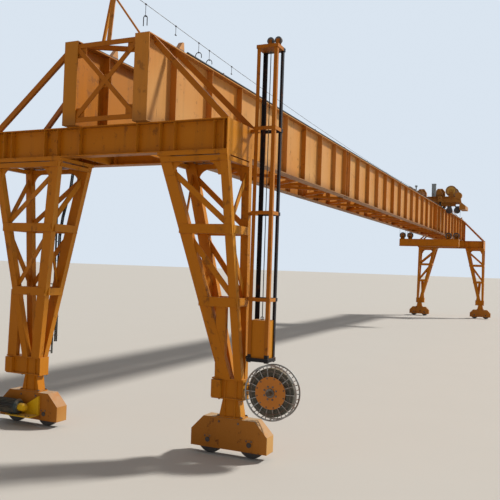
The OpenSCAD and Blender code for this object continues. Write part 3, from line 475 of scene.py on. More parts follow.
# What each solid of the frame wears; the rest, such as the wheels, is dark steel
finishes = (
    (framePaint, "near_cross_beam far_cross_beam near_right_leg near_left_leg far_right_leg far_left_leg"),
    (framePaint, "leg_feet wire_masts lifting_beam counterweight reel_bracket"),
    (latticePaint, "end_frames cross_frames lateral_bracing corner_struts"),
    (girderPaint, "right_girder"),
    (girderPaintShaded, "left_girder"),
    (towerPaint, "reel_tower"),
    (bogiePaint, "near_bogies far_bogies"),
    (motorPaint, "travel_drives ladder"),
    (winchPaint, "trolley_frame winch_motor"),
    (cabinetPaint, "control_cabinet"),
    (stoppedRail, "crane_rails"),
    (wireRope, "messenger_wire"),
    (hoistRope, "hoist_ropes counterweight_rope"),
    (drumFinish("rightDrumPaint", "right_drum"), "right_drum"),
    (drumFinish("leftDrumPaint", "left_drum"), "left_drum"),
    (reelFinish("reelSteel", "cable_reel"), "cable_reel"),
)
finishOf = {name: material for material, names in finishes for name in names.split()}
for name, piece in nodes.items():
    piece.data.materials.clear()
    piece.data.materials.append(finishOf.get(name, wheelSteel))
print("frame dressed")


# Mesh helpers

def bothWays(*values):
    return [sign * value for value in values for sign in (1, -1)]


def edgesOf(verts):
    return list({edge for vert in verts for edge in vert.link_edges})


def only(kind, items):
    return [item for item in items if isinstance(item, kind)]


def addBlock(bm, place, size):
    # place is the matrix that carries the block from the origin to its seat
    return bmesh.ops.create_cube(bm, size=1.0, matrix=place @ Matrix.Diagonal((*size, 1.0)))["verts"]


def addBox(bm, corner, opposite, bevel=0.0):
    low = Vector([min(pair) for pair in zip(corner, opposite)])
    high = Vector([max(pair) for pair in zip(corner, opposite)])
    verts = addBlock(bm, Matrix.Translation((low + high) / 2), high - low)
    if bevel:
        bmesh.ops.bevel(bm, geom=edgesOf(verts), offset=bevel, segments=2, profile=0.5, affect="EDGES",
                        material=-1)
    return verts


def addRod(bm, start, end, radius, sides=16, tip=None):
    start, end = Vector(start), Vector(end)
    along = end - start
    turn = along.to_track_quat("Z", "Y").to_matrix().to_4x4()
    bmesh.ops.create_cone(bm, cap_ends=True, cap_tris=False, segments=sides, radius1=radius,
                          radius2=radius if tip is None else tip, depth=along.length,
                          matrix=Matrix.Translation((start + end) / 2) @ turn)


def addBolt(bm, place, out, size):
    # a washer and a hexagon head
    place, out = Vector(place), Vector(out)
    addRod(bm, place, place + out * size * 0.3, size * 1.45, 12)
    addRod(bm, place + out * size * 0.3, place + out * size * 1.1, size, 6, size * 0.94)


def addBoltRing(bm, centre, out, radius, count, first, size):
    # bolts on an upright circle round centre, the first one at first degrees
    centre, out = Vector(centre), Vector(out)
    side = Vector((0, 1, 0)) if out.x else Vector((1, 0, 0))
    for k in range(count):
        angle = math.radians(first + 360 * k / count)
        spoke = side * math.cos(angle) + Vector((0, 0, 1)) * math.sin(angle)
        addBolt(bm, centre + radius * spoke, out, size)


def addFins(bm, centre, axis, radius, size, count, bare=(0, 0)):
    # fins round a motor that lies along axis, but none within the bare span of degrees
    for k in range(count):
        turn = 360 * k / count
        if not bare[0] < turn < bare[1]:
            spoke = Matrix.Rotation(math.radians(turn), 4, axis) @ Matrix.Translation((0, 0, radius))
            addBlock(bm, Matrix.Translation(centre) @ spoke, size)


def addRing(bm, centre, axis, out, radius, tube, steps=40, sides=8):
    # a round bar bent into a ring; out points from the centre to where it starts
    centre, axis, out = Vector(centre), Vector(axis), Vector(out)
    turn = Matrix((out, axis, out.cross(axis))).transposed().to_4x4()
    made = bmesh.ops.create_circle(bm, cap_ends=False, segments=sides, radius=tube,
                                   matrix=Matrix.Translation(centre + out * radius) @ turn)
    bmesh.ops.spin(bm, geom=made["verts"] + edgesOf(made["verts"]), cent=centre, axis=axis,
                   angle=2 * math.pi, steps=steps, use_merge=True, dvec=(0, 0, 0))


def startRope(bm, place, tube, sides):
    # the first ring of a rope that starts straight up or down
    verts = bmesh.ops.create_circle(bm, cap_ends=False, segments=sides, radius=tube,
                                    matrix=Matrix.Translation(place))["verts"]
    return verts, edgesOf(verts)


def turnRope(bm, ring, centre, axis, angle, steps, advance=0.0):
    # carries the rope's last ring round centre, and gives the edges of the new last ring
    spun = bmesh.ops.spin(bm, geom=ring, cent=centre, axis=axis, angle=angle, steps=steps, use_merge=False,
                          dvec=(0, advance, 0))
    return only(bmesh.types.BMEdge, spun["geom_last"])


def dropRope(bm, edges, drop):
    # pulls a ring straight up or down, and gives the new ring's vertices and edges
    pulled = bmesh.ops.extrude_edge_only(bm, edges=edges)["geom"]
    verts = only(bmesh.types.BMVert, pulled)
    bmesh.ops.translate(bm, verts=verts, vec=(0, 0, drop))
    return verts, only(bmesh.types.BMEdge, pulled)


def addCoil(bm, centre, radius, tube, width, steps, sides=6):
    # rope wound side by side round an axle along Y, each turn a little more than a diameter on
    turns = int(width / (2 * tube * 1.03))
    verts, first = startRope(bm, Vector(centre) + Vector((radius, -width / 2 + tube, 0)), tube, sides)
    total = turns * steps
    advance = (width - 2 * tube) / total
    last = turnRope(bm, verts + first, centre, (0, 1, 0), 2 * math.pi * turns, total, advance)
    bmesh.ops.holes_fill(bm, edges=first + last, sides=0)


def addArch(bm, top, radius, low, tube, sides=8, steps=14):
    # cable laid over a hanger: half a ring with two straight ends
    x, y, z = top
    centre = Vector((x, y, z - radius))
    verts, first = startRope(bm, centre + Vector((radius, 0, 0)), tube, sides)
    last = turnRope(bm, verts + first, centre, (0, -1, 0), math.pi, steps)
    for edges in (first, last):
        bmesh.ops.holes_fill(bm, edges=dropRope(bm, edges, low - centre.z)[1], sides=0)


def addLoop(bm, x, y, high, low, wrap, tube, sides=10, steps=16):
    # a closed loop of rope over an upper and a lower sheave
    verts, first = startRope(bm, (x + wrap, y, high), tube, sides)
    over = turnRope(bm, verts + first, (x, y, high), (0, -1, 0), math.pi, steps)
    verts, edges = dropRope(bm, over, low - high)
    last = turnRope(bm, verts + edges, (x, y, low), (0, -1, 0), math.pi, steps)
    bmesh.ops.bridge_loops(bm, edges=last + first)


def addPath(bm, points, radius, sides=10):
    for start, end in zip(points, points[1:]):
        addRod(bm, start, end, radius, sides)
    for point in points[1:-1]:
        bmesh.ops.create_uvsphere(bm, u_segments=sides, v_segments=6, radius=radius,
                                  matrix=Matrix.Translation(point))


def finishPiece(name, bm, material, body, smoothAngle=None):
    bmesh.ops.recalc_face_normals(bm, faces=bm.faces)
    mesh = bpy.data.meshes.new(name)
    bm.to_mesh(mesh)
    bm.free()
    mesh.materials.append(material)
    piece = bpy.data.objects.new(name, mesh)
    bpy.context.scene.collection.objects.link(piece)
    if smoothAngle:
        mesh.shade_smooth()
        mesh.set_sharp_from_angle(angle=math.radians(smoothAngle))
    if body:  # a rope that crosses a joint gets no body and keeps its place in the scene
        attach(piece, body)
    return piece


def finishBolts(name, bm, body="crane"):
    return finishPiece(name, bm, boltSteel, body)


# Sizes that the dressing takes from the frame
girderLow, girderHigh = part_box("right_girder")
girderX = (girderLow.x + girderHigh.x) / 2
girderTop = girderHigh.z
girderBase = girderLow.z
endY = girderHigh.y


# Girder joints: cover plates with bolts, and clips that hold the rails
girderValues = {
    "spliceAt": (-6.475, 5.55),
    "spliceHalf": 0.155,
    "spliceGap": 0.012,
    "plate": 0.010,
    "webHalf": 0.003,
    "flangeHalf": 0.087,
    "boltRows": 10,
    "boltColumns": (0.35, 0.7),
    "boltSize": 0.010,
    "clipPitch": 0.4625,
    "clipSize": (0.020, 0.040, 0.014),
    "clipBolt": (0.008, 0.009),
    "railHalf": 14.01,
    "railFoot": 0.0306,
}


def buildSplices():
    values = girderValues
    plates, bolts = bmesh.new(), bmesh.new()
    half, size = values["spliceHalf"], values["boltSize"]
    rowPitch = (girderTop - girderBase - 0.19) / (values["boltRows"] - 1)
    for side in bothWays(girderX):
        for y in values["spliceAt"]:
            for out in (1, -1):
                web = side + out * values["webHalf"]
                face = web + out * values["plate"]
                flange = side + out * values["flangeHalf"]
                for part in (-1, 1):
                    near, far = y + part * values["spliceGap"], y + part * half
                    addBox(plates, (web, near, girderBase + 0.05), (face, far, girderTop - 0.05), 0.002)
                    addBox(plates, (web, far - 0.004, girderBase + 0.013),
                           (flange, far + 0.004, girderTop - 0.013))
                    for column in values["boltColumns"]:
                        for k in range(values["boltRows"]):
                            place = (face, near + (far - near) * column, girderBase + 0.095 + k * rowPitch)
                            addBolt(bolts, place, (out, 0, 0), size)
            for k in range(6):
                for row in bothWays(0.06):
                    place = (side + row, y - half + 0.03 + k * (2 * half - 0.06) / 5, girderBase)
                    addBolt(bolts, place, (0, 0, -1), size)
    finishPiece("splicePlates", plates, girderPaint, "crane")
    finishBolts("spliceBolts", bolts)


def buildRailClips():
    values = girderValues
    clips, bolts = bmesh.new(), bmesh.new()
    deep, wide, thick = values["clipSize"]
    radius, tall = values["clipBolt"]
    count = int(2 * values["railHalf"] / values["clipPitch"])
    for side in bothWays(girderX):
        for k in range(count):
            y = -values["railHalf"] + (k + 0.5) * 2 * values["railHalf"] / count
            for out in (1, -1):
                inner = side + out * (values["railFoot"] + 0.0005)
                addBox(clips, (inner, y - wide / 2, girderTop + 0.0002),
                       (inner + out * deep, y + wide / 2, girderTop + thick))
                x, z = inner + out * deep / 2, girderTop + thick
                addRod(bolts, (x, y, z), (x, y, z + tall), radius, 6)
    finishPiece("railClips", clips, railSteel, "crane")
    finishBolts("railClipBolts", bolts)


buildSplices()
buildRailClips()
print("girder details done")


# Gusset plates where the bracing between the girders crosses and ends, and their bolts
frameValues = {
    "plate": 0.15,
    "thick": 0.008,
    "every": 3,
    "count": 30,
    "pitch": 0.925,
    "first": -13.871,
    "low": 0.060,
    "high": 0.935,
    "endInset": 0.024,
    "corner": (0.29, 0.435),
    "cornerBolts": (0.31, 0.36, 0.41),
    "boltSize": 0.009,
}


def buildFrameGussets():
    values = frameValues
    plates, bolts = bmesh.new(), bmesh.new()
    middle = girderBase + (values["low"] + values["high"]) / 2
    half, every, thick, size = values["plate"] / 2, values["every"], values["thick"], values["boltSize"]
    faces = []  # where each plate lies on the bars, and its free face
    for i in range(every, values["count"] - every + 1, every):
        y = values["first"] + i * values["pitch"]
        faces.append((y - 0.0002, y - thick))
    for end in (-1, 1):  # the end frames' far faces, seen from between the girders
        y = end * (endY - values["endInset"])
        faces.append((y, y - end * thick))
    for seat, face in faces:
        outward = (0, math.copysign(1, face - seat), 0)
        addBox(plates, (-half, seat, middle - half), (half, face, middle + half), 0.002)
        for dx in bothWays(0.045):
            for dz in bothWays(0.045):
                addBolt(bolts, (dx, face, middle + dz), outward, size)
        for sx in (1, -1):
            inner, outer = (sx * x for x in values["corner"])
            for z, inward in ((girderBase + values["low"], 1), (girderBase + values["high"], -1)):
                addBox(plates, (inner, seat, z - inward * 0.028), (outer, face, z + inward * 0.14), 0.002)
                for x in values["cornerBolts"]:
                    addBolt(bolts, (sx * x, face, z), outward, size)
    finishPiece("bracingGussets", plates, latticePaint, "crane")
    finishBolts("bracingBolts", bolts)


buildFrameGussets()
print("bracing details done")


# Bolts of the legs' heads and feet
legValues = {
    "heads": ((0.70, 1.56, -1), (-1.75, -0.70, -1), (0.70, 1.56, 1), (-1.56, -0.70, 1)),  # from x, to x, end
    "headBolts": 7,
    "headRows": (0.32, 0.52),
    "headZ": 3.36,
    "headBolt": 0.013,
    "foot": (1.455, 13.835),
    "footBolt": 0.012,
    "footZ": (0.445, 0.64),
}


def buildLegBolts():
    values = legValues
    bolts = bmesh.new()
    beamEnd = -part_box("near_cross_beam")[0].y
    for left, right, end in values["heads"]:
        for k in range(values["headBolts"]):
            x = left + 0.05 + k * (right - left - 0.1) / (values["headBolts"] - 1)
            for inset in values["headRows"]:
                addBolt(bolts, (x, end * (beamEnd - inset), values["headZ"]), (0, 0, -1), values["headBolt"])
    lower, upper = values["footZ"]
    for x in bothWays(values["foot"][0]):
        for y in bothWays(values["foot"][1]):
            for dx in bothWays(0.145):
                for dy in bothWays(0.070):
                    addBolt(bolts, (x + dx, y + dy, lower), (0, 0, 1), values["footBolt"])
                    addBolt(bolts, (x + dx * 0.97, y + dy, upper), (0, 0, -1), values["footBolt"] * 0.8)
    finishBolts("legBolts", bolts)


buildLegBolts()
print("leg details done")


# Bogies: keeper plates that hold the axles, and bolts through the sides
bogieValues = {
    "x": 1.455,
    "y": 13.835,
    "half": 0.095,
    "axle": 0.26,
    "keeperZ": 0.196,
    "keeper": (0.045, 0.009, 0.024),
    "keeperBolt": 0.007,
    "sideBolt": 0.009,
    "sideBoltZ": 0.385,
}


def buildBogieDetails():
    values = bogieValues
    plates, bolts = bmesh.new(), bmesh.new()
    wide, thick, tall = values["keeper"]
    low = values["keeperZ"]
    for middle in bothWays(values["x"]):
        for end in bothWays(values["y"]):
            for out in (1, -1):
                y = end + out * values["half"]
                for dx in bothWays(values["axle"]):
                    x = middle + dx
                    addBox(plates, (x - wide, y, low), (x + wide, y + out * thick, low + tall), 0.002)
                    for k in bothWays(0.030):
                        place = (x + k, y + out * thick, low + tall / 2)
                        addBolt(bolts, place, (0, out, 0), values["keeperBolt"])
                for k in bothWays(0.12):
                    addBolt(bolts, (middle + k, y, values["sideBoltZ"]), (0, out, 0), values["sideBolt"])
    finishPiece("axleKeepers", plates, bogiePaint, "crane")
    finishBolts("bogieBolts", bolts)


buildBogieDetails()
print("bogie details done")


# Travel drives: finned motor with a yellow brake, on a yellow bracket with a triangular web
driveLow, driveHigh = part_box("travel_drives")
driveValues = {
    "x": driveHigh.x - 0.340,  # the gear flange's middle
    "z": driveLow.z + 0.107,
    "face": 13.93,  # the bogie's side
    "out": 0.110,
    "motorRadius": 0.074,
    "coverRadius": 0.0945,
    "fin": 0.095,
    "fins": 28,
    "inner": 0.110,
    "outer": -0.260,
    "brakeRadius": 0.052,
    "brakeEnd": 0.222,
    "bracket": (-0.060, 0.340, 0.190, 0.012),  # from x, to x, depth, thickness
    "webHeight": 0.255,
}


def buildTravelDrive(end, label):
    values = driveValues
    x, z = values["x"], values["z"]
    face = end * values["face"]
    axisY = face + end * values["out"]
    left, right = x + values["outer"], x + values["inner"]

    def along(bm, start, stop, radius, sides, tip=None):
        addRod(bm, (start, axisY, z), (stop, axisY, z), radius, sides, tip)

    body, cap, bracket, bolts = bmesh.new(), bmesh.new(), bmesh.new(), bmesh.new()
    along(body, left + 0.02, right - 0.01, values["motorRadius"], 40)
    inner, outer = values["motorRadius"] - 0.004, values["fin"]
    addFins(body, ((left + right) / 2, axisY, z), "X", (inner + outer) / 2,
            (right - left - 0.07, 0.005, outer - inner), values["fins"])
    along(body, left, left + 0.035, values["coverRadius"], 40)  # fan cover
    along(body, right - 0.035, right, values["coverRadius"], 40, 0.082)  # end shield
    addRod(body, (x, face, z), (x, face + end * 0.014, z), 0.076, 36)  # gear flange and neck
    addRod(body, (x, face + end * 0.01, z), (x, axisY, z), 0.062, 36)
    along(cap, right, right + 0.075, values["brakeRadius"], 36)
    along(cap, right + 0.075, x + values["brakeEnd"], values["brakeRadius"], 36, 0.024)
    addBoltRing(bolts, (right, axisY, z), (1, 0, 0), 0.068, 6, 30, 0.006)

    # floor plate and the two webs that stand on it against the bogie
    start, stop, deep, thick = values["bracket"]
    low = driveLow.z
    addBox(bracket, (x + start, face, low), (x + stop, face + end * deep, low + thick), 0.002)
    for step in (0.0, 0.018):
        web = addBox(bracket, (x + start, face + end * step, low),
                     (x + stop, face + end * (step + thick), low + values["webHeight"]))
        for vert in web:
            if vert.co.z > low + 0.1 and vert.co.x < x:  # the web's upper corner comes down to the floor
                vert.co.x, vert.co.z = x + start, low + thick + 0.001
    for dx in (0.02, 0.14, 0.26, 0.31):
        addBolt(bolts, (x + dx, face + end * 0.165, low + thick), (0, 0, 1), 0.008)
    return [finishPiece("travelMotor" + label, body, motorPaint, "crane", 35),
            finishPiece("travelBrake" + label, cap, yellowPaint, "crane", 35),
            finishPiece("travelBracket" + label, bracket, yellowPaint, "crane"),
            finishBolts("travelBolts" + label, bolts)]


for piece in buildTravelDrive(-1, "Near") + buildTravelDrive(1, "Far"):
    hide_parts("travel_drives")
print("travel drives done")


# Feed wire: hangers, some with a short loop of cable
wireValues = {
    "x": -0.12,
    "z": 5.53,
    "sag": 0.295,
    "reach": 14.1847,
    "low": 5.222,
    "cable": 0.006,
    "hangers": ((-13.545, 0.155, 0.028), (-12.781, 0.125, 0), (-12.11, 0.145, 0.05),
                (-11.773, 0.145, 0.05), (-10.988, 0.12, 0)),  # y, drop, radius of the loop
}


def wireHeight(y):
    return wireValues["z"] - wireValues["sag"] * (1 - (y / wireValues["reach"]) ** 2)


def buildHangers():
    values = wireValues
    x = values["x"]
    clips, arches = bmesh.new(), bmesh.new()
    for end in (1, -1):
        for place, drop, radius in values["hangers"]:
            y = place * end
            top = wireHeight(y)
            foot = top - drop
            addRod(clips, (x, y - 0.012, top), (x, y + 0.012, top), 0.010, 12)
            addRod(clips, (x, y, top - 0.004), (x, y, foot), 0.0035, 8)
            addRod(clips, (x, y - 0.016, foot), (x, y + 0.016, foot), 0.008, 12)
            if radius:
                addArch(arches, (x, y, foot + 0.004), radius, values["low"], values["cable"])
    finishPiece("wireHangers", clips, blackRubber, "crane", 40)
    finishPiece("festoonCable", arches, blackRubber, "crane", 60)


buildHangers()

# Feed cable laid along the right girder's edge, held by saddles
layValues = {"out": 0.0745, "radius": 0.019, "half": 13.62, "saddlePitch": 1.85, "saddleHalf": 0.012}


def buildLaidCable():
    values = layValues
    cable, saddles = bmesh.new(), bmesh.new()
    x, z = girderX + values["out"], girderTop + values["radius"]
    addRod(cable, (x, -values["half"], z), (x, values["half"], z), values["radius"], 12)
    count = int(2 * values["half"] / values["saddlePitch"])
    for k in range(count):
        y = -values["half"] + (k + 0.5) * 2 * values["half"] / count
        addBox(saddles, (x - 0.021, y - values["saddleHalf"], girderTop),
               (x + 0.0205, y + values["saddleHalf"], z + values["radius"] + 0.003), 0.003)
    finishPiece("laidCable", cable, blackRubber, "crane", 60)
    finishBolts("cableSaddles", saddles)


buildLaidCable()
print("feed wire done")


# Control cables that run from the beam to the ladder and down its rail
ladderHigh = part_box("ladder")[1]
runValues = {
    "radius": 0.009,
    "offsets": ((0, 0), (0.021, 0.004), (0.009, -0.017)),
    "start": (-1.16, 3.375),
    "joint": (-1.395, 2.48),
    "low": 1.06,
    "ties": 6,
}


def buildLadderCables():
    values = runValues
    cables, ties = bmesh.new(), bmesh.new()
    rail, y = ladderHigh.x + 0.012, ladderHigh.y + 0.024
    (startX, startZ), (jointX, jointZ) = values["start"], values["joint"]
    for dx, dy in values["offsets"]:
        route = ((startX, startZ), (startX - 0.03, startZ - 0.22), (jointX + 0.09, jointZ + 0.26),
                 (rail, jointZ), (rail, values["low"]))
        addPath(cables, [(x + dx, y + dy, z) for x, z in route], values["radius"])
    for k in range(values["ties"]):
        z = values["low"] + 0.08 + k * (jointZ - values["low"] - 0.16) / (values["ties"] - 1)
        addBox(ties, (ladderHigh.x - 0.013, ladderHigh.y - 0.002, z),
               (rail + 0.034, y + 0.016, z + 0.008), 0.002)
    finishPiece("ladderCables", cables, blackRubber, "crane", 50)
    finishBolts("cableTies", ties)


buildLadderCables()
print("ladder cables done")


# Cable reel: the wound feed cable, tie rods between the rims and the hub's bolts
reelLow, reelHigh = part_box("cable_reel")
reelCentre = (reelLow + reelHigh) / 2
reelValues = {
    "cable": 0.008,
    "layers": 6,
    "inner": 0.190,
    "width": 0.098,
    "tieRods": 18,
    "rodRadius": 0.295,
    "half": 0.065,
    "spokeRing": 0.235,
    "hubBolts": ((0.075, 8, 22.5, 0.008), (0.163, 12, 15, 0.006)),  # radius, count, first angle, size
    "axleCap": 0.052,
}


def buildReel():
    values = reelValues
    x, middle, z = reelCentre
    half = values["half"]
    cable, rods, bolts = bmesh.new(), bmesh.new(), bmesh.new()
    for layer in range(values["layers"]):
        radius = values["inner"] + layer * 2 * values["cable"] * 0.93
        addCoil(cable, reelCentre, radius, values["cable"], values["width"], 36)
    for k in range(values["tieRods"]):
        angle = 2 * math.pi * (k + 0.5) / values["tieRods"]
        rodX, rodZ = x + values["rodRadius"] * math.cos(angle), z + values["rodRadius"] * math.sin(angle)
        addRod(rods, (rodX, middle - half + 0.006, rodZ), (rodX, middle + half - 0.006, rodZ), 0.005, 8)
    for out in (-1, 1):
        y = middle + out * half
        addRing(rods, (x, y - out * 0.004, z), (0, 1, 0), (1, 0, 0), values["spokeRing"], 0.0045, 54, 6)
        for ring in values["hubBolts"]:
            addBoltRing(bolts, (x, y, z), (0, out, 0), *ring)
        addRod(bolts, (x, y, z), (x, y + out * 0.014, z), values["axleCap"], 32)
    finishPiece("reelCable", cable, feedCable, "cable_reel", 60)
    finishPiece("reelRods", rods, boltSteel, "cable_reel", 40)
    finishPiece("reelBolts", bolts, boltSteel, "cable_reel")


buildReel()
print("cable reel done")


# Drums: the wound rope and the bolts of their ends
drumValues = {
    "coil": 0.150,
    "rope": 0.005,
    "width": 0.728,
    "length": 0.76,
    "bolts": (0.17, 8, 0, 0.008),  # radius, count, first angle, size
}


def buildDrum(body, label):
    values = drumValues
    low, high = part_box(body)  # each drum is a body of its own
    centre = (low + high) / 2
    coil, bolts = bmesh.new(), bmesh.new()
    addCoil(coil, centre, values["coil"], values["rope"], values["width"], 28)
    for out in (-1, 1):
        face = (centre.x, centre.y + out * values["length"] / 2, centre.z)
        addBoltRing(bolts, face, (0, out, 0), *values["bolts"])
    finishPiece("drumRope" + label, coil, hoistRope, body, 60)
    finishBolts("drumBolts" + label, bolts, body)


buildDrum("right_drum", "Right")
buildDrum("left_drum", "Left")

# Winch: fins and a terminal box on the hoist motors, lids, flanges and foot pads on the gear cases
winchValues = {
    "y": 7.69,
    "z": 5.20,
    "caseX": 0.37,
    "caseDepth": 0.085,
    "lidBolts": 6,
    "flanges": ((-0.09, 0.14, 0.05), (0.07, 0.30, 0.04), (0.10, 0.13, 0.045)),  # x, z, radius
    "feet": 0.15,
    "motorZ": 5.355,
    "motorRadius": 0.125,
    "motorStart": 7.605,
    "motorLength": 0.48,
    "fins": 28,
    "finless": (140, 220),
}


def buildWinchDetails():
    values = winchValues
    fins, bolts, lids = bmesh.new(), bmesh.new(), bmesh.new()
    middle, base, motorZ = values["y"], values["z"], values["motorZ"]
    radius, length = values["motorRadius"], values["motorLength"]
    end = values["motorStart"] - length
    for sx in (1, -1):
        x = sx * values["caseX"]
        addFins(fins, (x, values["motorStart"] - length / 2, motorZ), "Y", radius + 0.006,
                (0.006, length * 0.78, 0.02), values["fins"], values["finless"])
        addRod(fins, (x, end + 0.004, motorZ), (x, end - 0.02, motorZ), radius + 0.014, 40)
        addBox(lids, (x - 0.06, end + 0.12, motorZ + radius + 0.008),
               (x + 0.06, end + 0.26, motorZ + radius + 0.06), 0.006)
        for out in (-1, 1):
            y = middle + out * values["caseDepth"]
            addBox(lids, (x - 0.15, y, base + 0.215), (x + 0.15, y + out * 0.012, base + 0.235), 0.002)
            for k in range(values["lidBolts"]):
                addBolt(bolts, (x - 0.13 + k * 0.052, y + out * 0.012, base + 0.225), (0, out, 0), 0.007)
            for dx, dz, size in values["flanges"]:
                place = (x + sx * dx, y, base + dz)
                addRod(lids, place, (place[0], y + out * 0.014, place[2]), size, 28)
        for k in bothWays(values["feet"]):
            addBox(lids, (x + k - 0.02, middle - 0.11, base + 0.0002),
                   (x + k + 0.02, middle + 0.11, base + 0.016), 0.003)
            for dy in bothWays(0.098):
                addBolt(bolts, (x + k, middle + dy, base + 0.016), (0, 0, 1), 0.008)
    finishPiece("hoistMotorFins", fins, winchPaint, "trolley", 35)
    finishPiece("gearCaseLids", lids, winchPaint, "trolley", 35)
    finishBolts("winchBolts", bolts, "trolley")


buildWinchDetails()

# Control cabinet: pressed ribs on the sides, a door with hinges, handle and louvres, and a rain roof
cabinetValues = {
    "low": (0.155, 6.90, 5.20),
    "high": (0.305, 7.06, 5.72),
    "ribs": 7,
    "rib": 0.006,
    "eaves": 0.012,
    "roof": 0.0142,
    "louvres": 5,
}


def buildCabinet():
    values = cabinetValues
    (x0, y0, z0), (x1, y1, z1) = values["low"], values["high"]
    shell, dark = bmesh.new(), bmesh.new()
    for k in range(values["ribs"]):
        z = z0 + 0.06 + k * (z1 - z0 - 0.12) / (values["ribs"] - 1)
        for x, out in ((x1, values["rib"]), (x0, -values["rib"])):
            addBox(shell, (x, y0 + 0.015, z - 0.012), (x + out, y1 - 0.015, z + 0.012), 0.003)
    addBox(shell, (x0 + 0.012, y0 - 0.008, z0 + 0.03), (x1 - 0.012, y0, z1 - 0.03), 0.002)  # door
    eaves = values["eaves"]
    addBox(shell, (x0 - eaves, y0 - 0.014, z1 - values["roof"]), (x1 + eaves, y1 + eaves, z1 - 0.0002), 0.003)
    for z in (z0 + 0.10, z1 - 0.10):
        addRod(dark, (x0 + 0.010, y0 - 0.010, z - 0.02), (x0 + 0.010, y0 - 0.010, z + 0.02), 0.006, 10)
    addBox(dark, (x1 - 0.035, y0 - 0.020, z0 + 0.24), (x1 - 0.025, y0 - 0.008, z0 + 0.30), 0.002)  # handle
    for k in range(values["louvres"]):
        z = z0 + 0.07 + k * 0.014
        addBox(dark, (x0 + 0.04, y0 - 0.0092, z), (x1 - 0.04, y0 - 0.0078, z + 0.006))
    finishPiece("cabinetShell", shell, cabinetPaint, "trolley")
    finishBolts("cabinetFittings", dark, "trolley")


buildCabinet()
print("winch details done")


# Counterweight: corner angles on the steel box
weightLow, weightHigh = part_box("counterweight")
weightValues = {"proud": 0.002, "leg": 0.014, "short": 0.001}


def buildCounterweight():
    values = weightValues
    trim = bmesh.new()
    for x, sx in ((weightLow.x, 1), (weightHigh.x, -1)):
        for y, sy in ((weightLow.y, 1), (weightHigh.y, -1)):
            addBox(trim, (x - sx * values["proud"], y - sy * values["proud"], weightLow.z + values["short"]),
                   (x + sx * values["leg"], y + sy * values["leg"], weightHigh.z - values["short"]))
    finishPiece("counterweightTrim", trim, latticePaint, "counterweight")


buildCounterweight()
print("counterweight done")


# Lifting beam: cheek plates on both sides of the sheaves
cheekValues = {
    "x": (0.77, 1.08),
    "y": 7.5,
    "z": 3.665,
    "radius": 0.072,
    "half": 0.026,
    "thick": 0.010,
    "foot": 3.519,
}


def buildCheeks():
    values = cheekValues
    z, radius = values["z"], values["radius"]
    plates, bolts = bmesh.new(), bmesh.new()
    for x in bothWays(*values["x"]):
        for out in (-1, 1):
            near = values["y"] + out * values["half"]
            far = near + out * values["thick"]
            addRod(plates, (x, min(near, far), z), (x, max(near, far), z), radius, 28)
            addBox(plates, (x - radius, near, values["foot"]), (x + radius, far, z))
            addRod(bolts, (x, far, z), (x, far + out * 0.012, z), 0.03, 6)
    finishPiece("sheaveCheeks", plates, framePaint, "lifting_beam")
    finishBolts("sheavePins", bolts, "lifting_beam")


buildCheeks()
print("lifting beam done")


# Ropes that cross a joint: loops over the hoist's sheaves, and the counterweight's rope with its eye
ropeValues = {"radius": 0.005, "wrap": 0.12, "eye": 0.018, "eyeBar": 0.004, "eyeFoot": (0.014, 0.006)}


def buildRopes():
    values = ropeValues
    low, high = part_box("hoist_ropes")
    loops = bmesh.new()
    for x in bothWays(*cheekValues["x"]):
        addLoop(loops, x, (low.y + high.y) / 2, high.z, low.z, values["wrap"], values["radius"])
    piece = finishPiece("hoistRopes", loops, hoistRope, None, 60)
    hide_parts("hoist_ropes")
    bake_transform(piece)

    low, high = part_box("counterweight_rope")
    x, y = (low.x + high.x) / 2, (low.y + high.y) / 2
    line, eye = bmesh.new(), bmesh.new()
    addRod(line, (x, y, low.z), (x, y, high.z), values["radius"], 10)
    piece = finishPiece("weightRope", line, hoistRope, None, 60)
    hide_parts("counterweight_rope")
    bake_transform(piece)
    addRing(eye, (x, y, low.z + values["eye"]), (0, 1, 0), (1, 0, 0), values["eye"], values["eyeBar"], 24)
    radius, tall = values["eyeFoot"]
    addRod(eye, (x, y, low.z), (x, y, low.z + tall), radius, 12)
    finishPiece("weightEye", eye, boltSteel, "counterweight", 40)


buildRopes()
print("ropes done")


# Stage: pale floor, pale sky, one soft sun from the right and the photograph's camera
stageValues = {
    "floor": (0.64, 0.62, 0.59),
    "floorSize": 400.0,
    "sky": (0.70, 0.78, 0.87),
    "ambient": (1.0, 0.98, 0.95),
    "ambientStrength": 0.27,
    "sunColour": (1.0, 0.95, 0.87),
    "sunStrength": 3.5,
    "sunHeight": 40.0,
    "sunTurn": 48.0,
    "sunSize": 6.0,
    "camera": (4.7989, -20.8935, 2.1574),
    "forward": (-0.41192, 0.91090, 0.02404),
    "up": (-0.02082, -0.03578, 0.99914),
    "lens": 48.923,
}


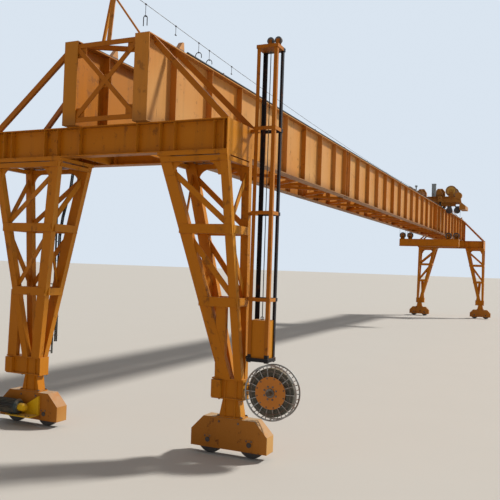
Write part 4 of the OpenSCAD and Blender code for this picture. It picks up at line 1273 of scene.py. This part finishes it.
def buildFloor():
    values = stageValues
    bm = bmesh.new()
    bmesh.ops.create_grid(bm, x_segments=1, y_segments=1, size=values["floorSize"])
    bmesh.ops.translate(bm, verts=bm.verts, vec=(0, 0, -0.002))
    mesh = bpy.data.meshes.new("floor")
    bm.to_mesh(mesh)
    bm.free()
    floor = bpy.data.objects.new("floor", mesh)
    bpy.context.scene.collection.objects.link(floor)
    material, tree, shader, place = emptyMaterial("floorPaint")
    cloud = noise(tree, place, 0.8, 5.0)
    pale = values["floor"]
    link(tree, tint(tree, cloud, tuple(0.97 * value for value in pale), pale), shader.inputs["Base Color"])
    shader.inputs["Roughness"].default_value = 0.9
    shader.inputs["Specular IOR Level"].default_value = 0.2
    mesh.materials.append(material)


def buildSky():
    # the camera, gloss and glass see the pale sky, and the crane is lit by the dimmer ambient light
    values = stageValues
    world = bpy.data.worlds.new("paleSky")
    world.use_nodes = True
    bpy.context.scene.world = world
    tree = world.node_tree
    background = tree.nodes["Background"]
    path = tree.nodes.new("ShaderNodeLightPath")
    bounced = reckon(tree, "MAXIMUM", path.outputs["Is Glossy Ray"], path.outputs["Is Transmission Ray"])
    shown = reckon(tree, "MAXIMUM", path.outputs["Is Camera Ray"], bounced)
    dim = tuple(value * values["ambientStrength"] for value in values["ambient"])
    link(tree, tint(tree, shown, dim, values["sky"]), background.inputs["Color"])
    background.inputs["Strength"].default_value = 1.0


def buildSun():
    values = stageValues
    sun = bpy.data.lights.new("softSun", "SUN")
    sun.energy = values["sunStrength"]
    sun.angle = math.radians(values["sunSize"])
    sun.color = values["sunColour"]
    lamp = bpy.data.objects.new("softSun", sun)
    height, turn = math.radians(values["sunHeight"]), math.radians(values["sunTurn"])
    toSun = Vector((math.cos(height) * math.cos(turn), math.cos(height) * math.sin(turn), math.sin(height)))
    lamp.rotation_mode = "QUATERNION"
    lamp.rotation_quaternion = toSun.to_track_quat("Z", "Y")
    bpy.context.scene.collection.objects.link(lamp)


def buildCamera():
    values = stageValues
    lens = bpy.data.cameras.new("photoCamera")
    lens.sensor_width = 36.0
    lens.lens = values["lens"]
    lens.clip_start, lens.clip_end = 0.1, 1000.0
    camera = bpy.data.objects.new("photoCamera", lens)
    back = -Vector(values["forward"]).normalized()
    right = Vector(values["up"]).cross(back).normalized()
    up = back.cross(right).normalized()
    turn = Matrix((right, up, back)).transposed().to_4x4()
    camera.matrix_world = Matrix.Translation(values["camera"]) @ turn
    bpy.context.scene.collection.objects.link(camera)
    bpy.context.scene.camera = camera


buildFloor()
buildSky()
buildSun()
buildCamera()
bpy.context.scene.view_settings.view_transform = "Standard"
print("stage done")
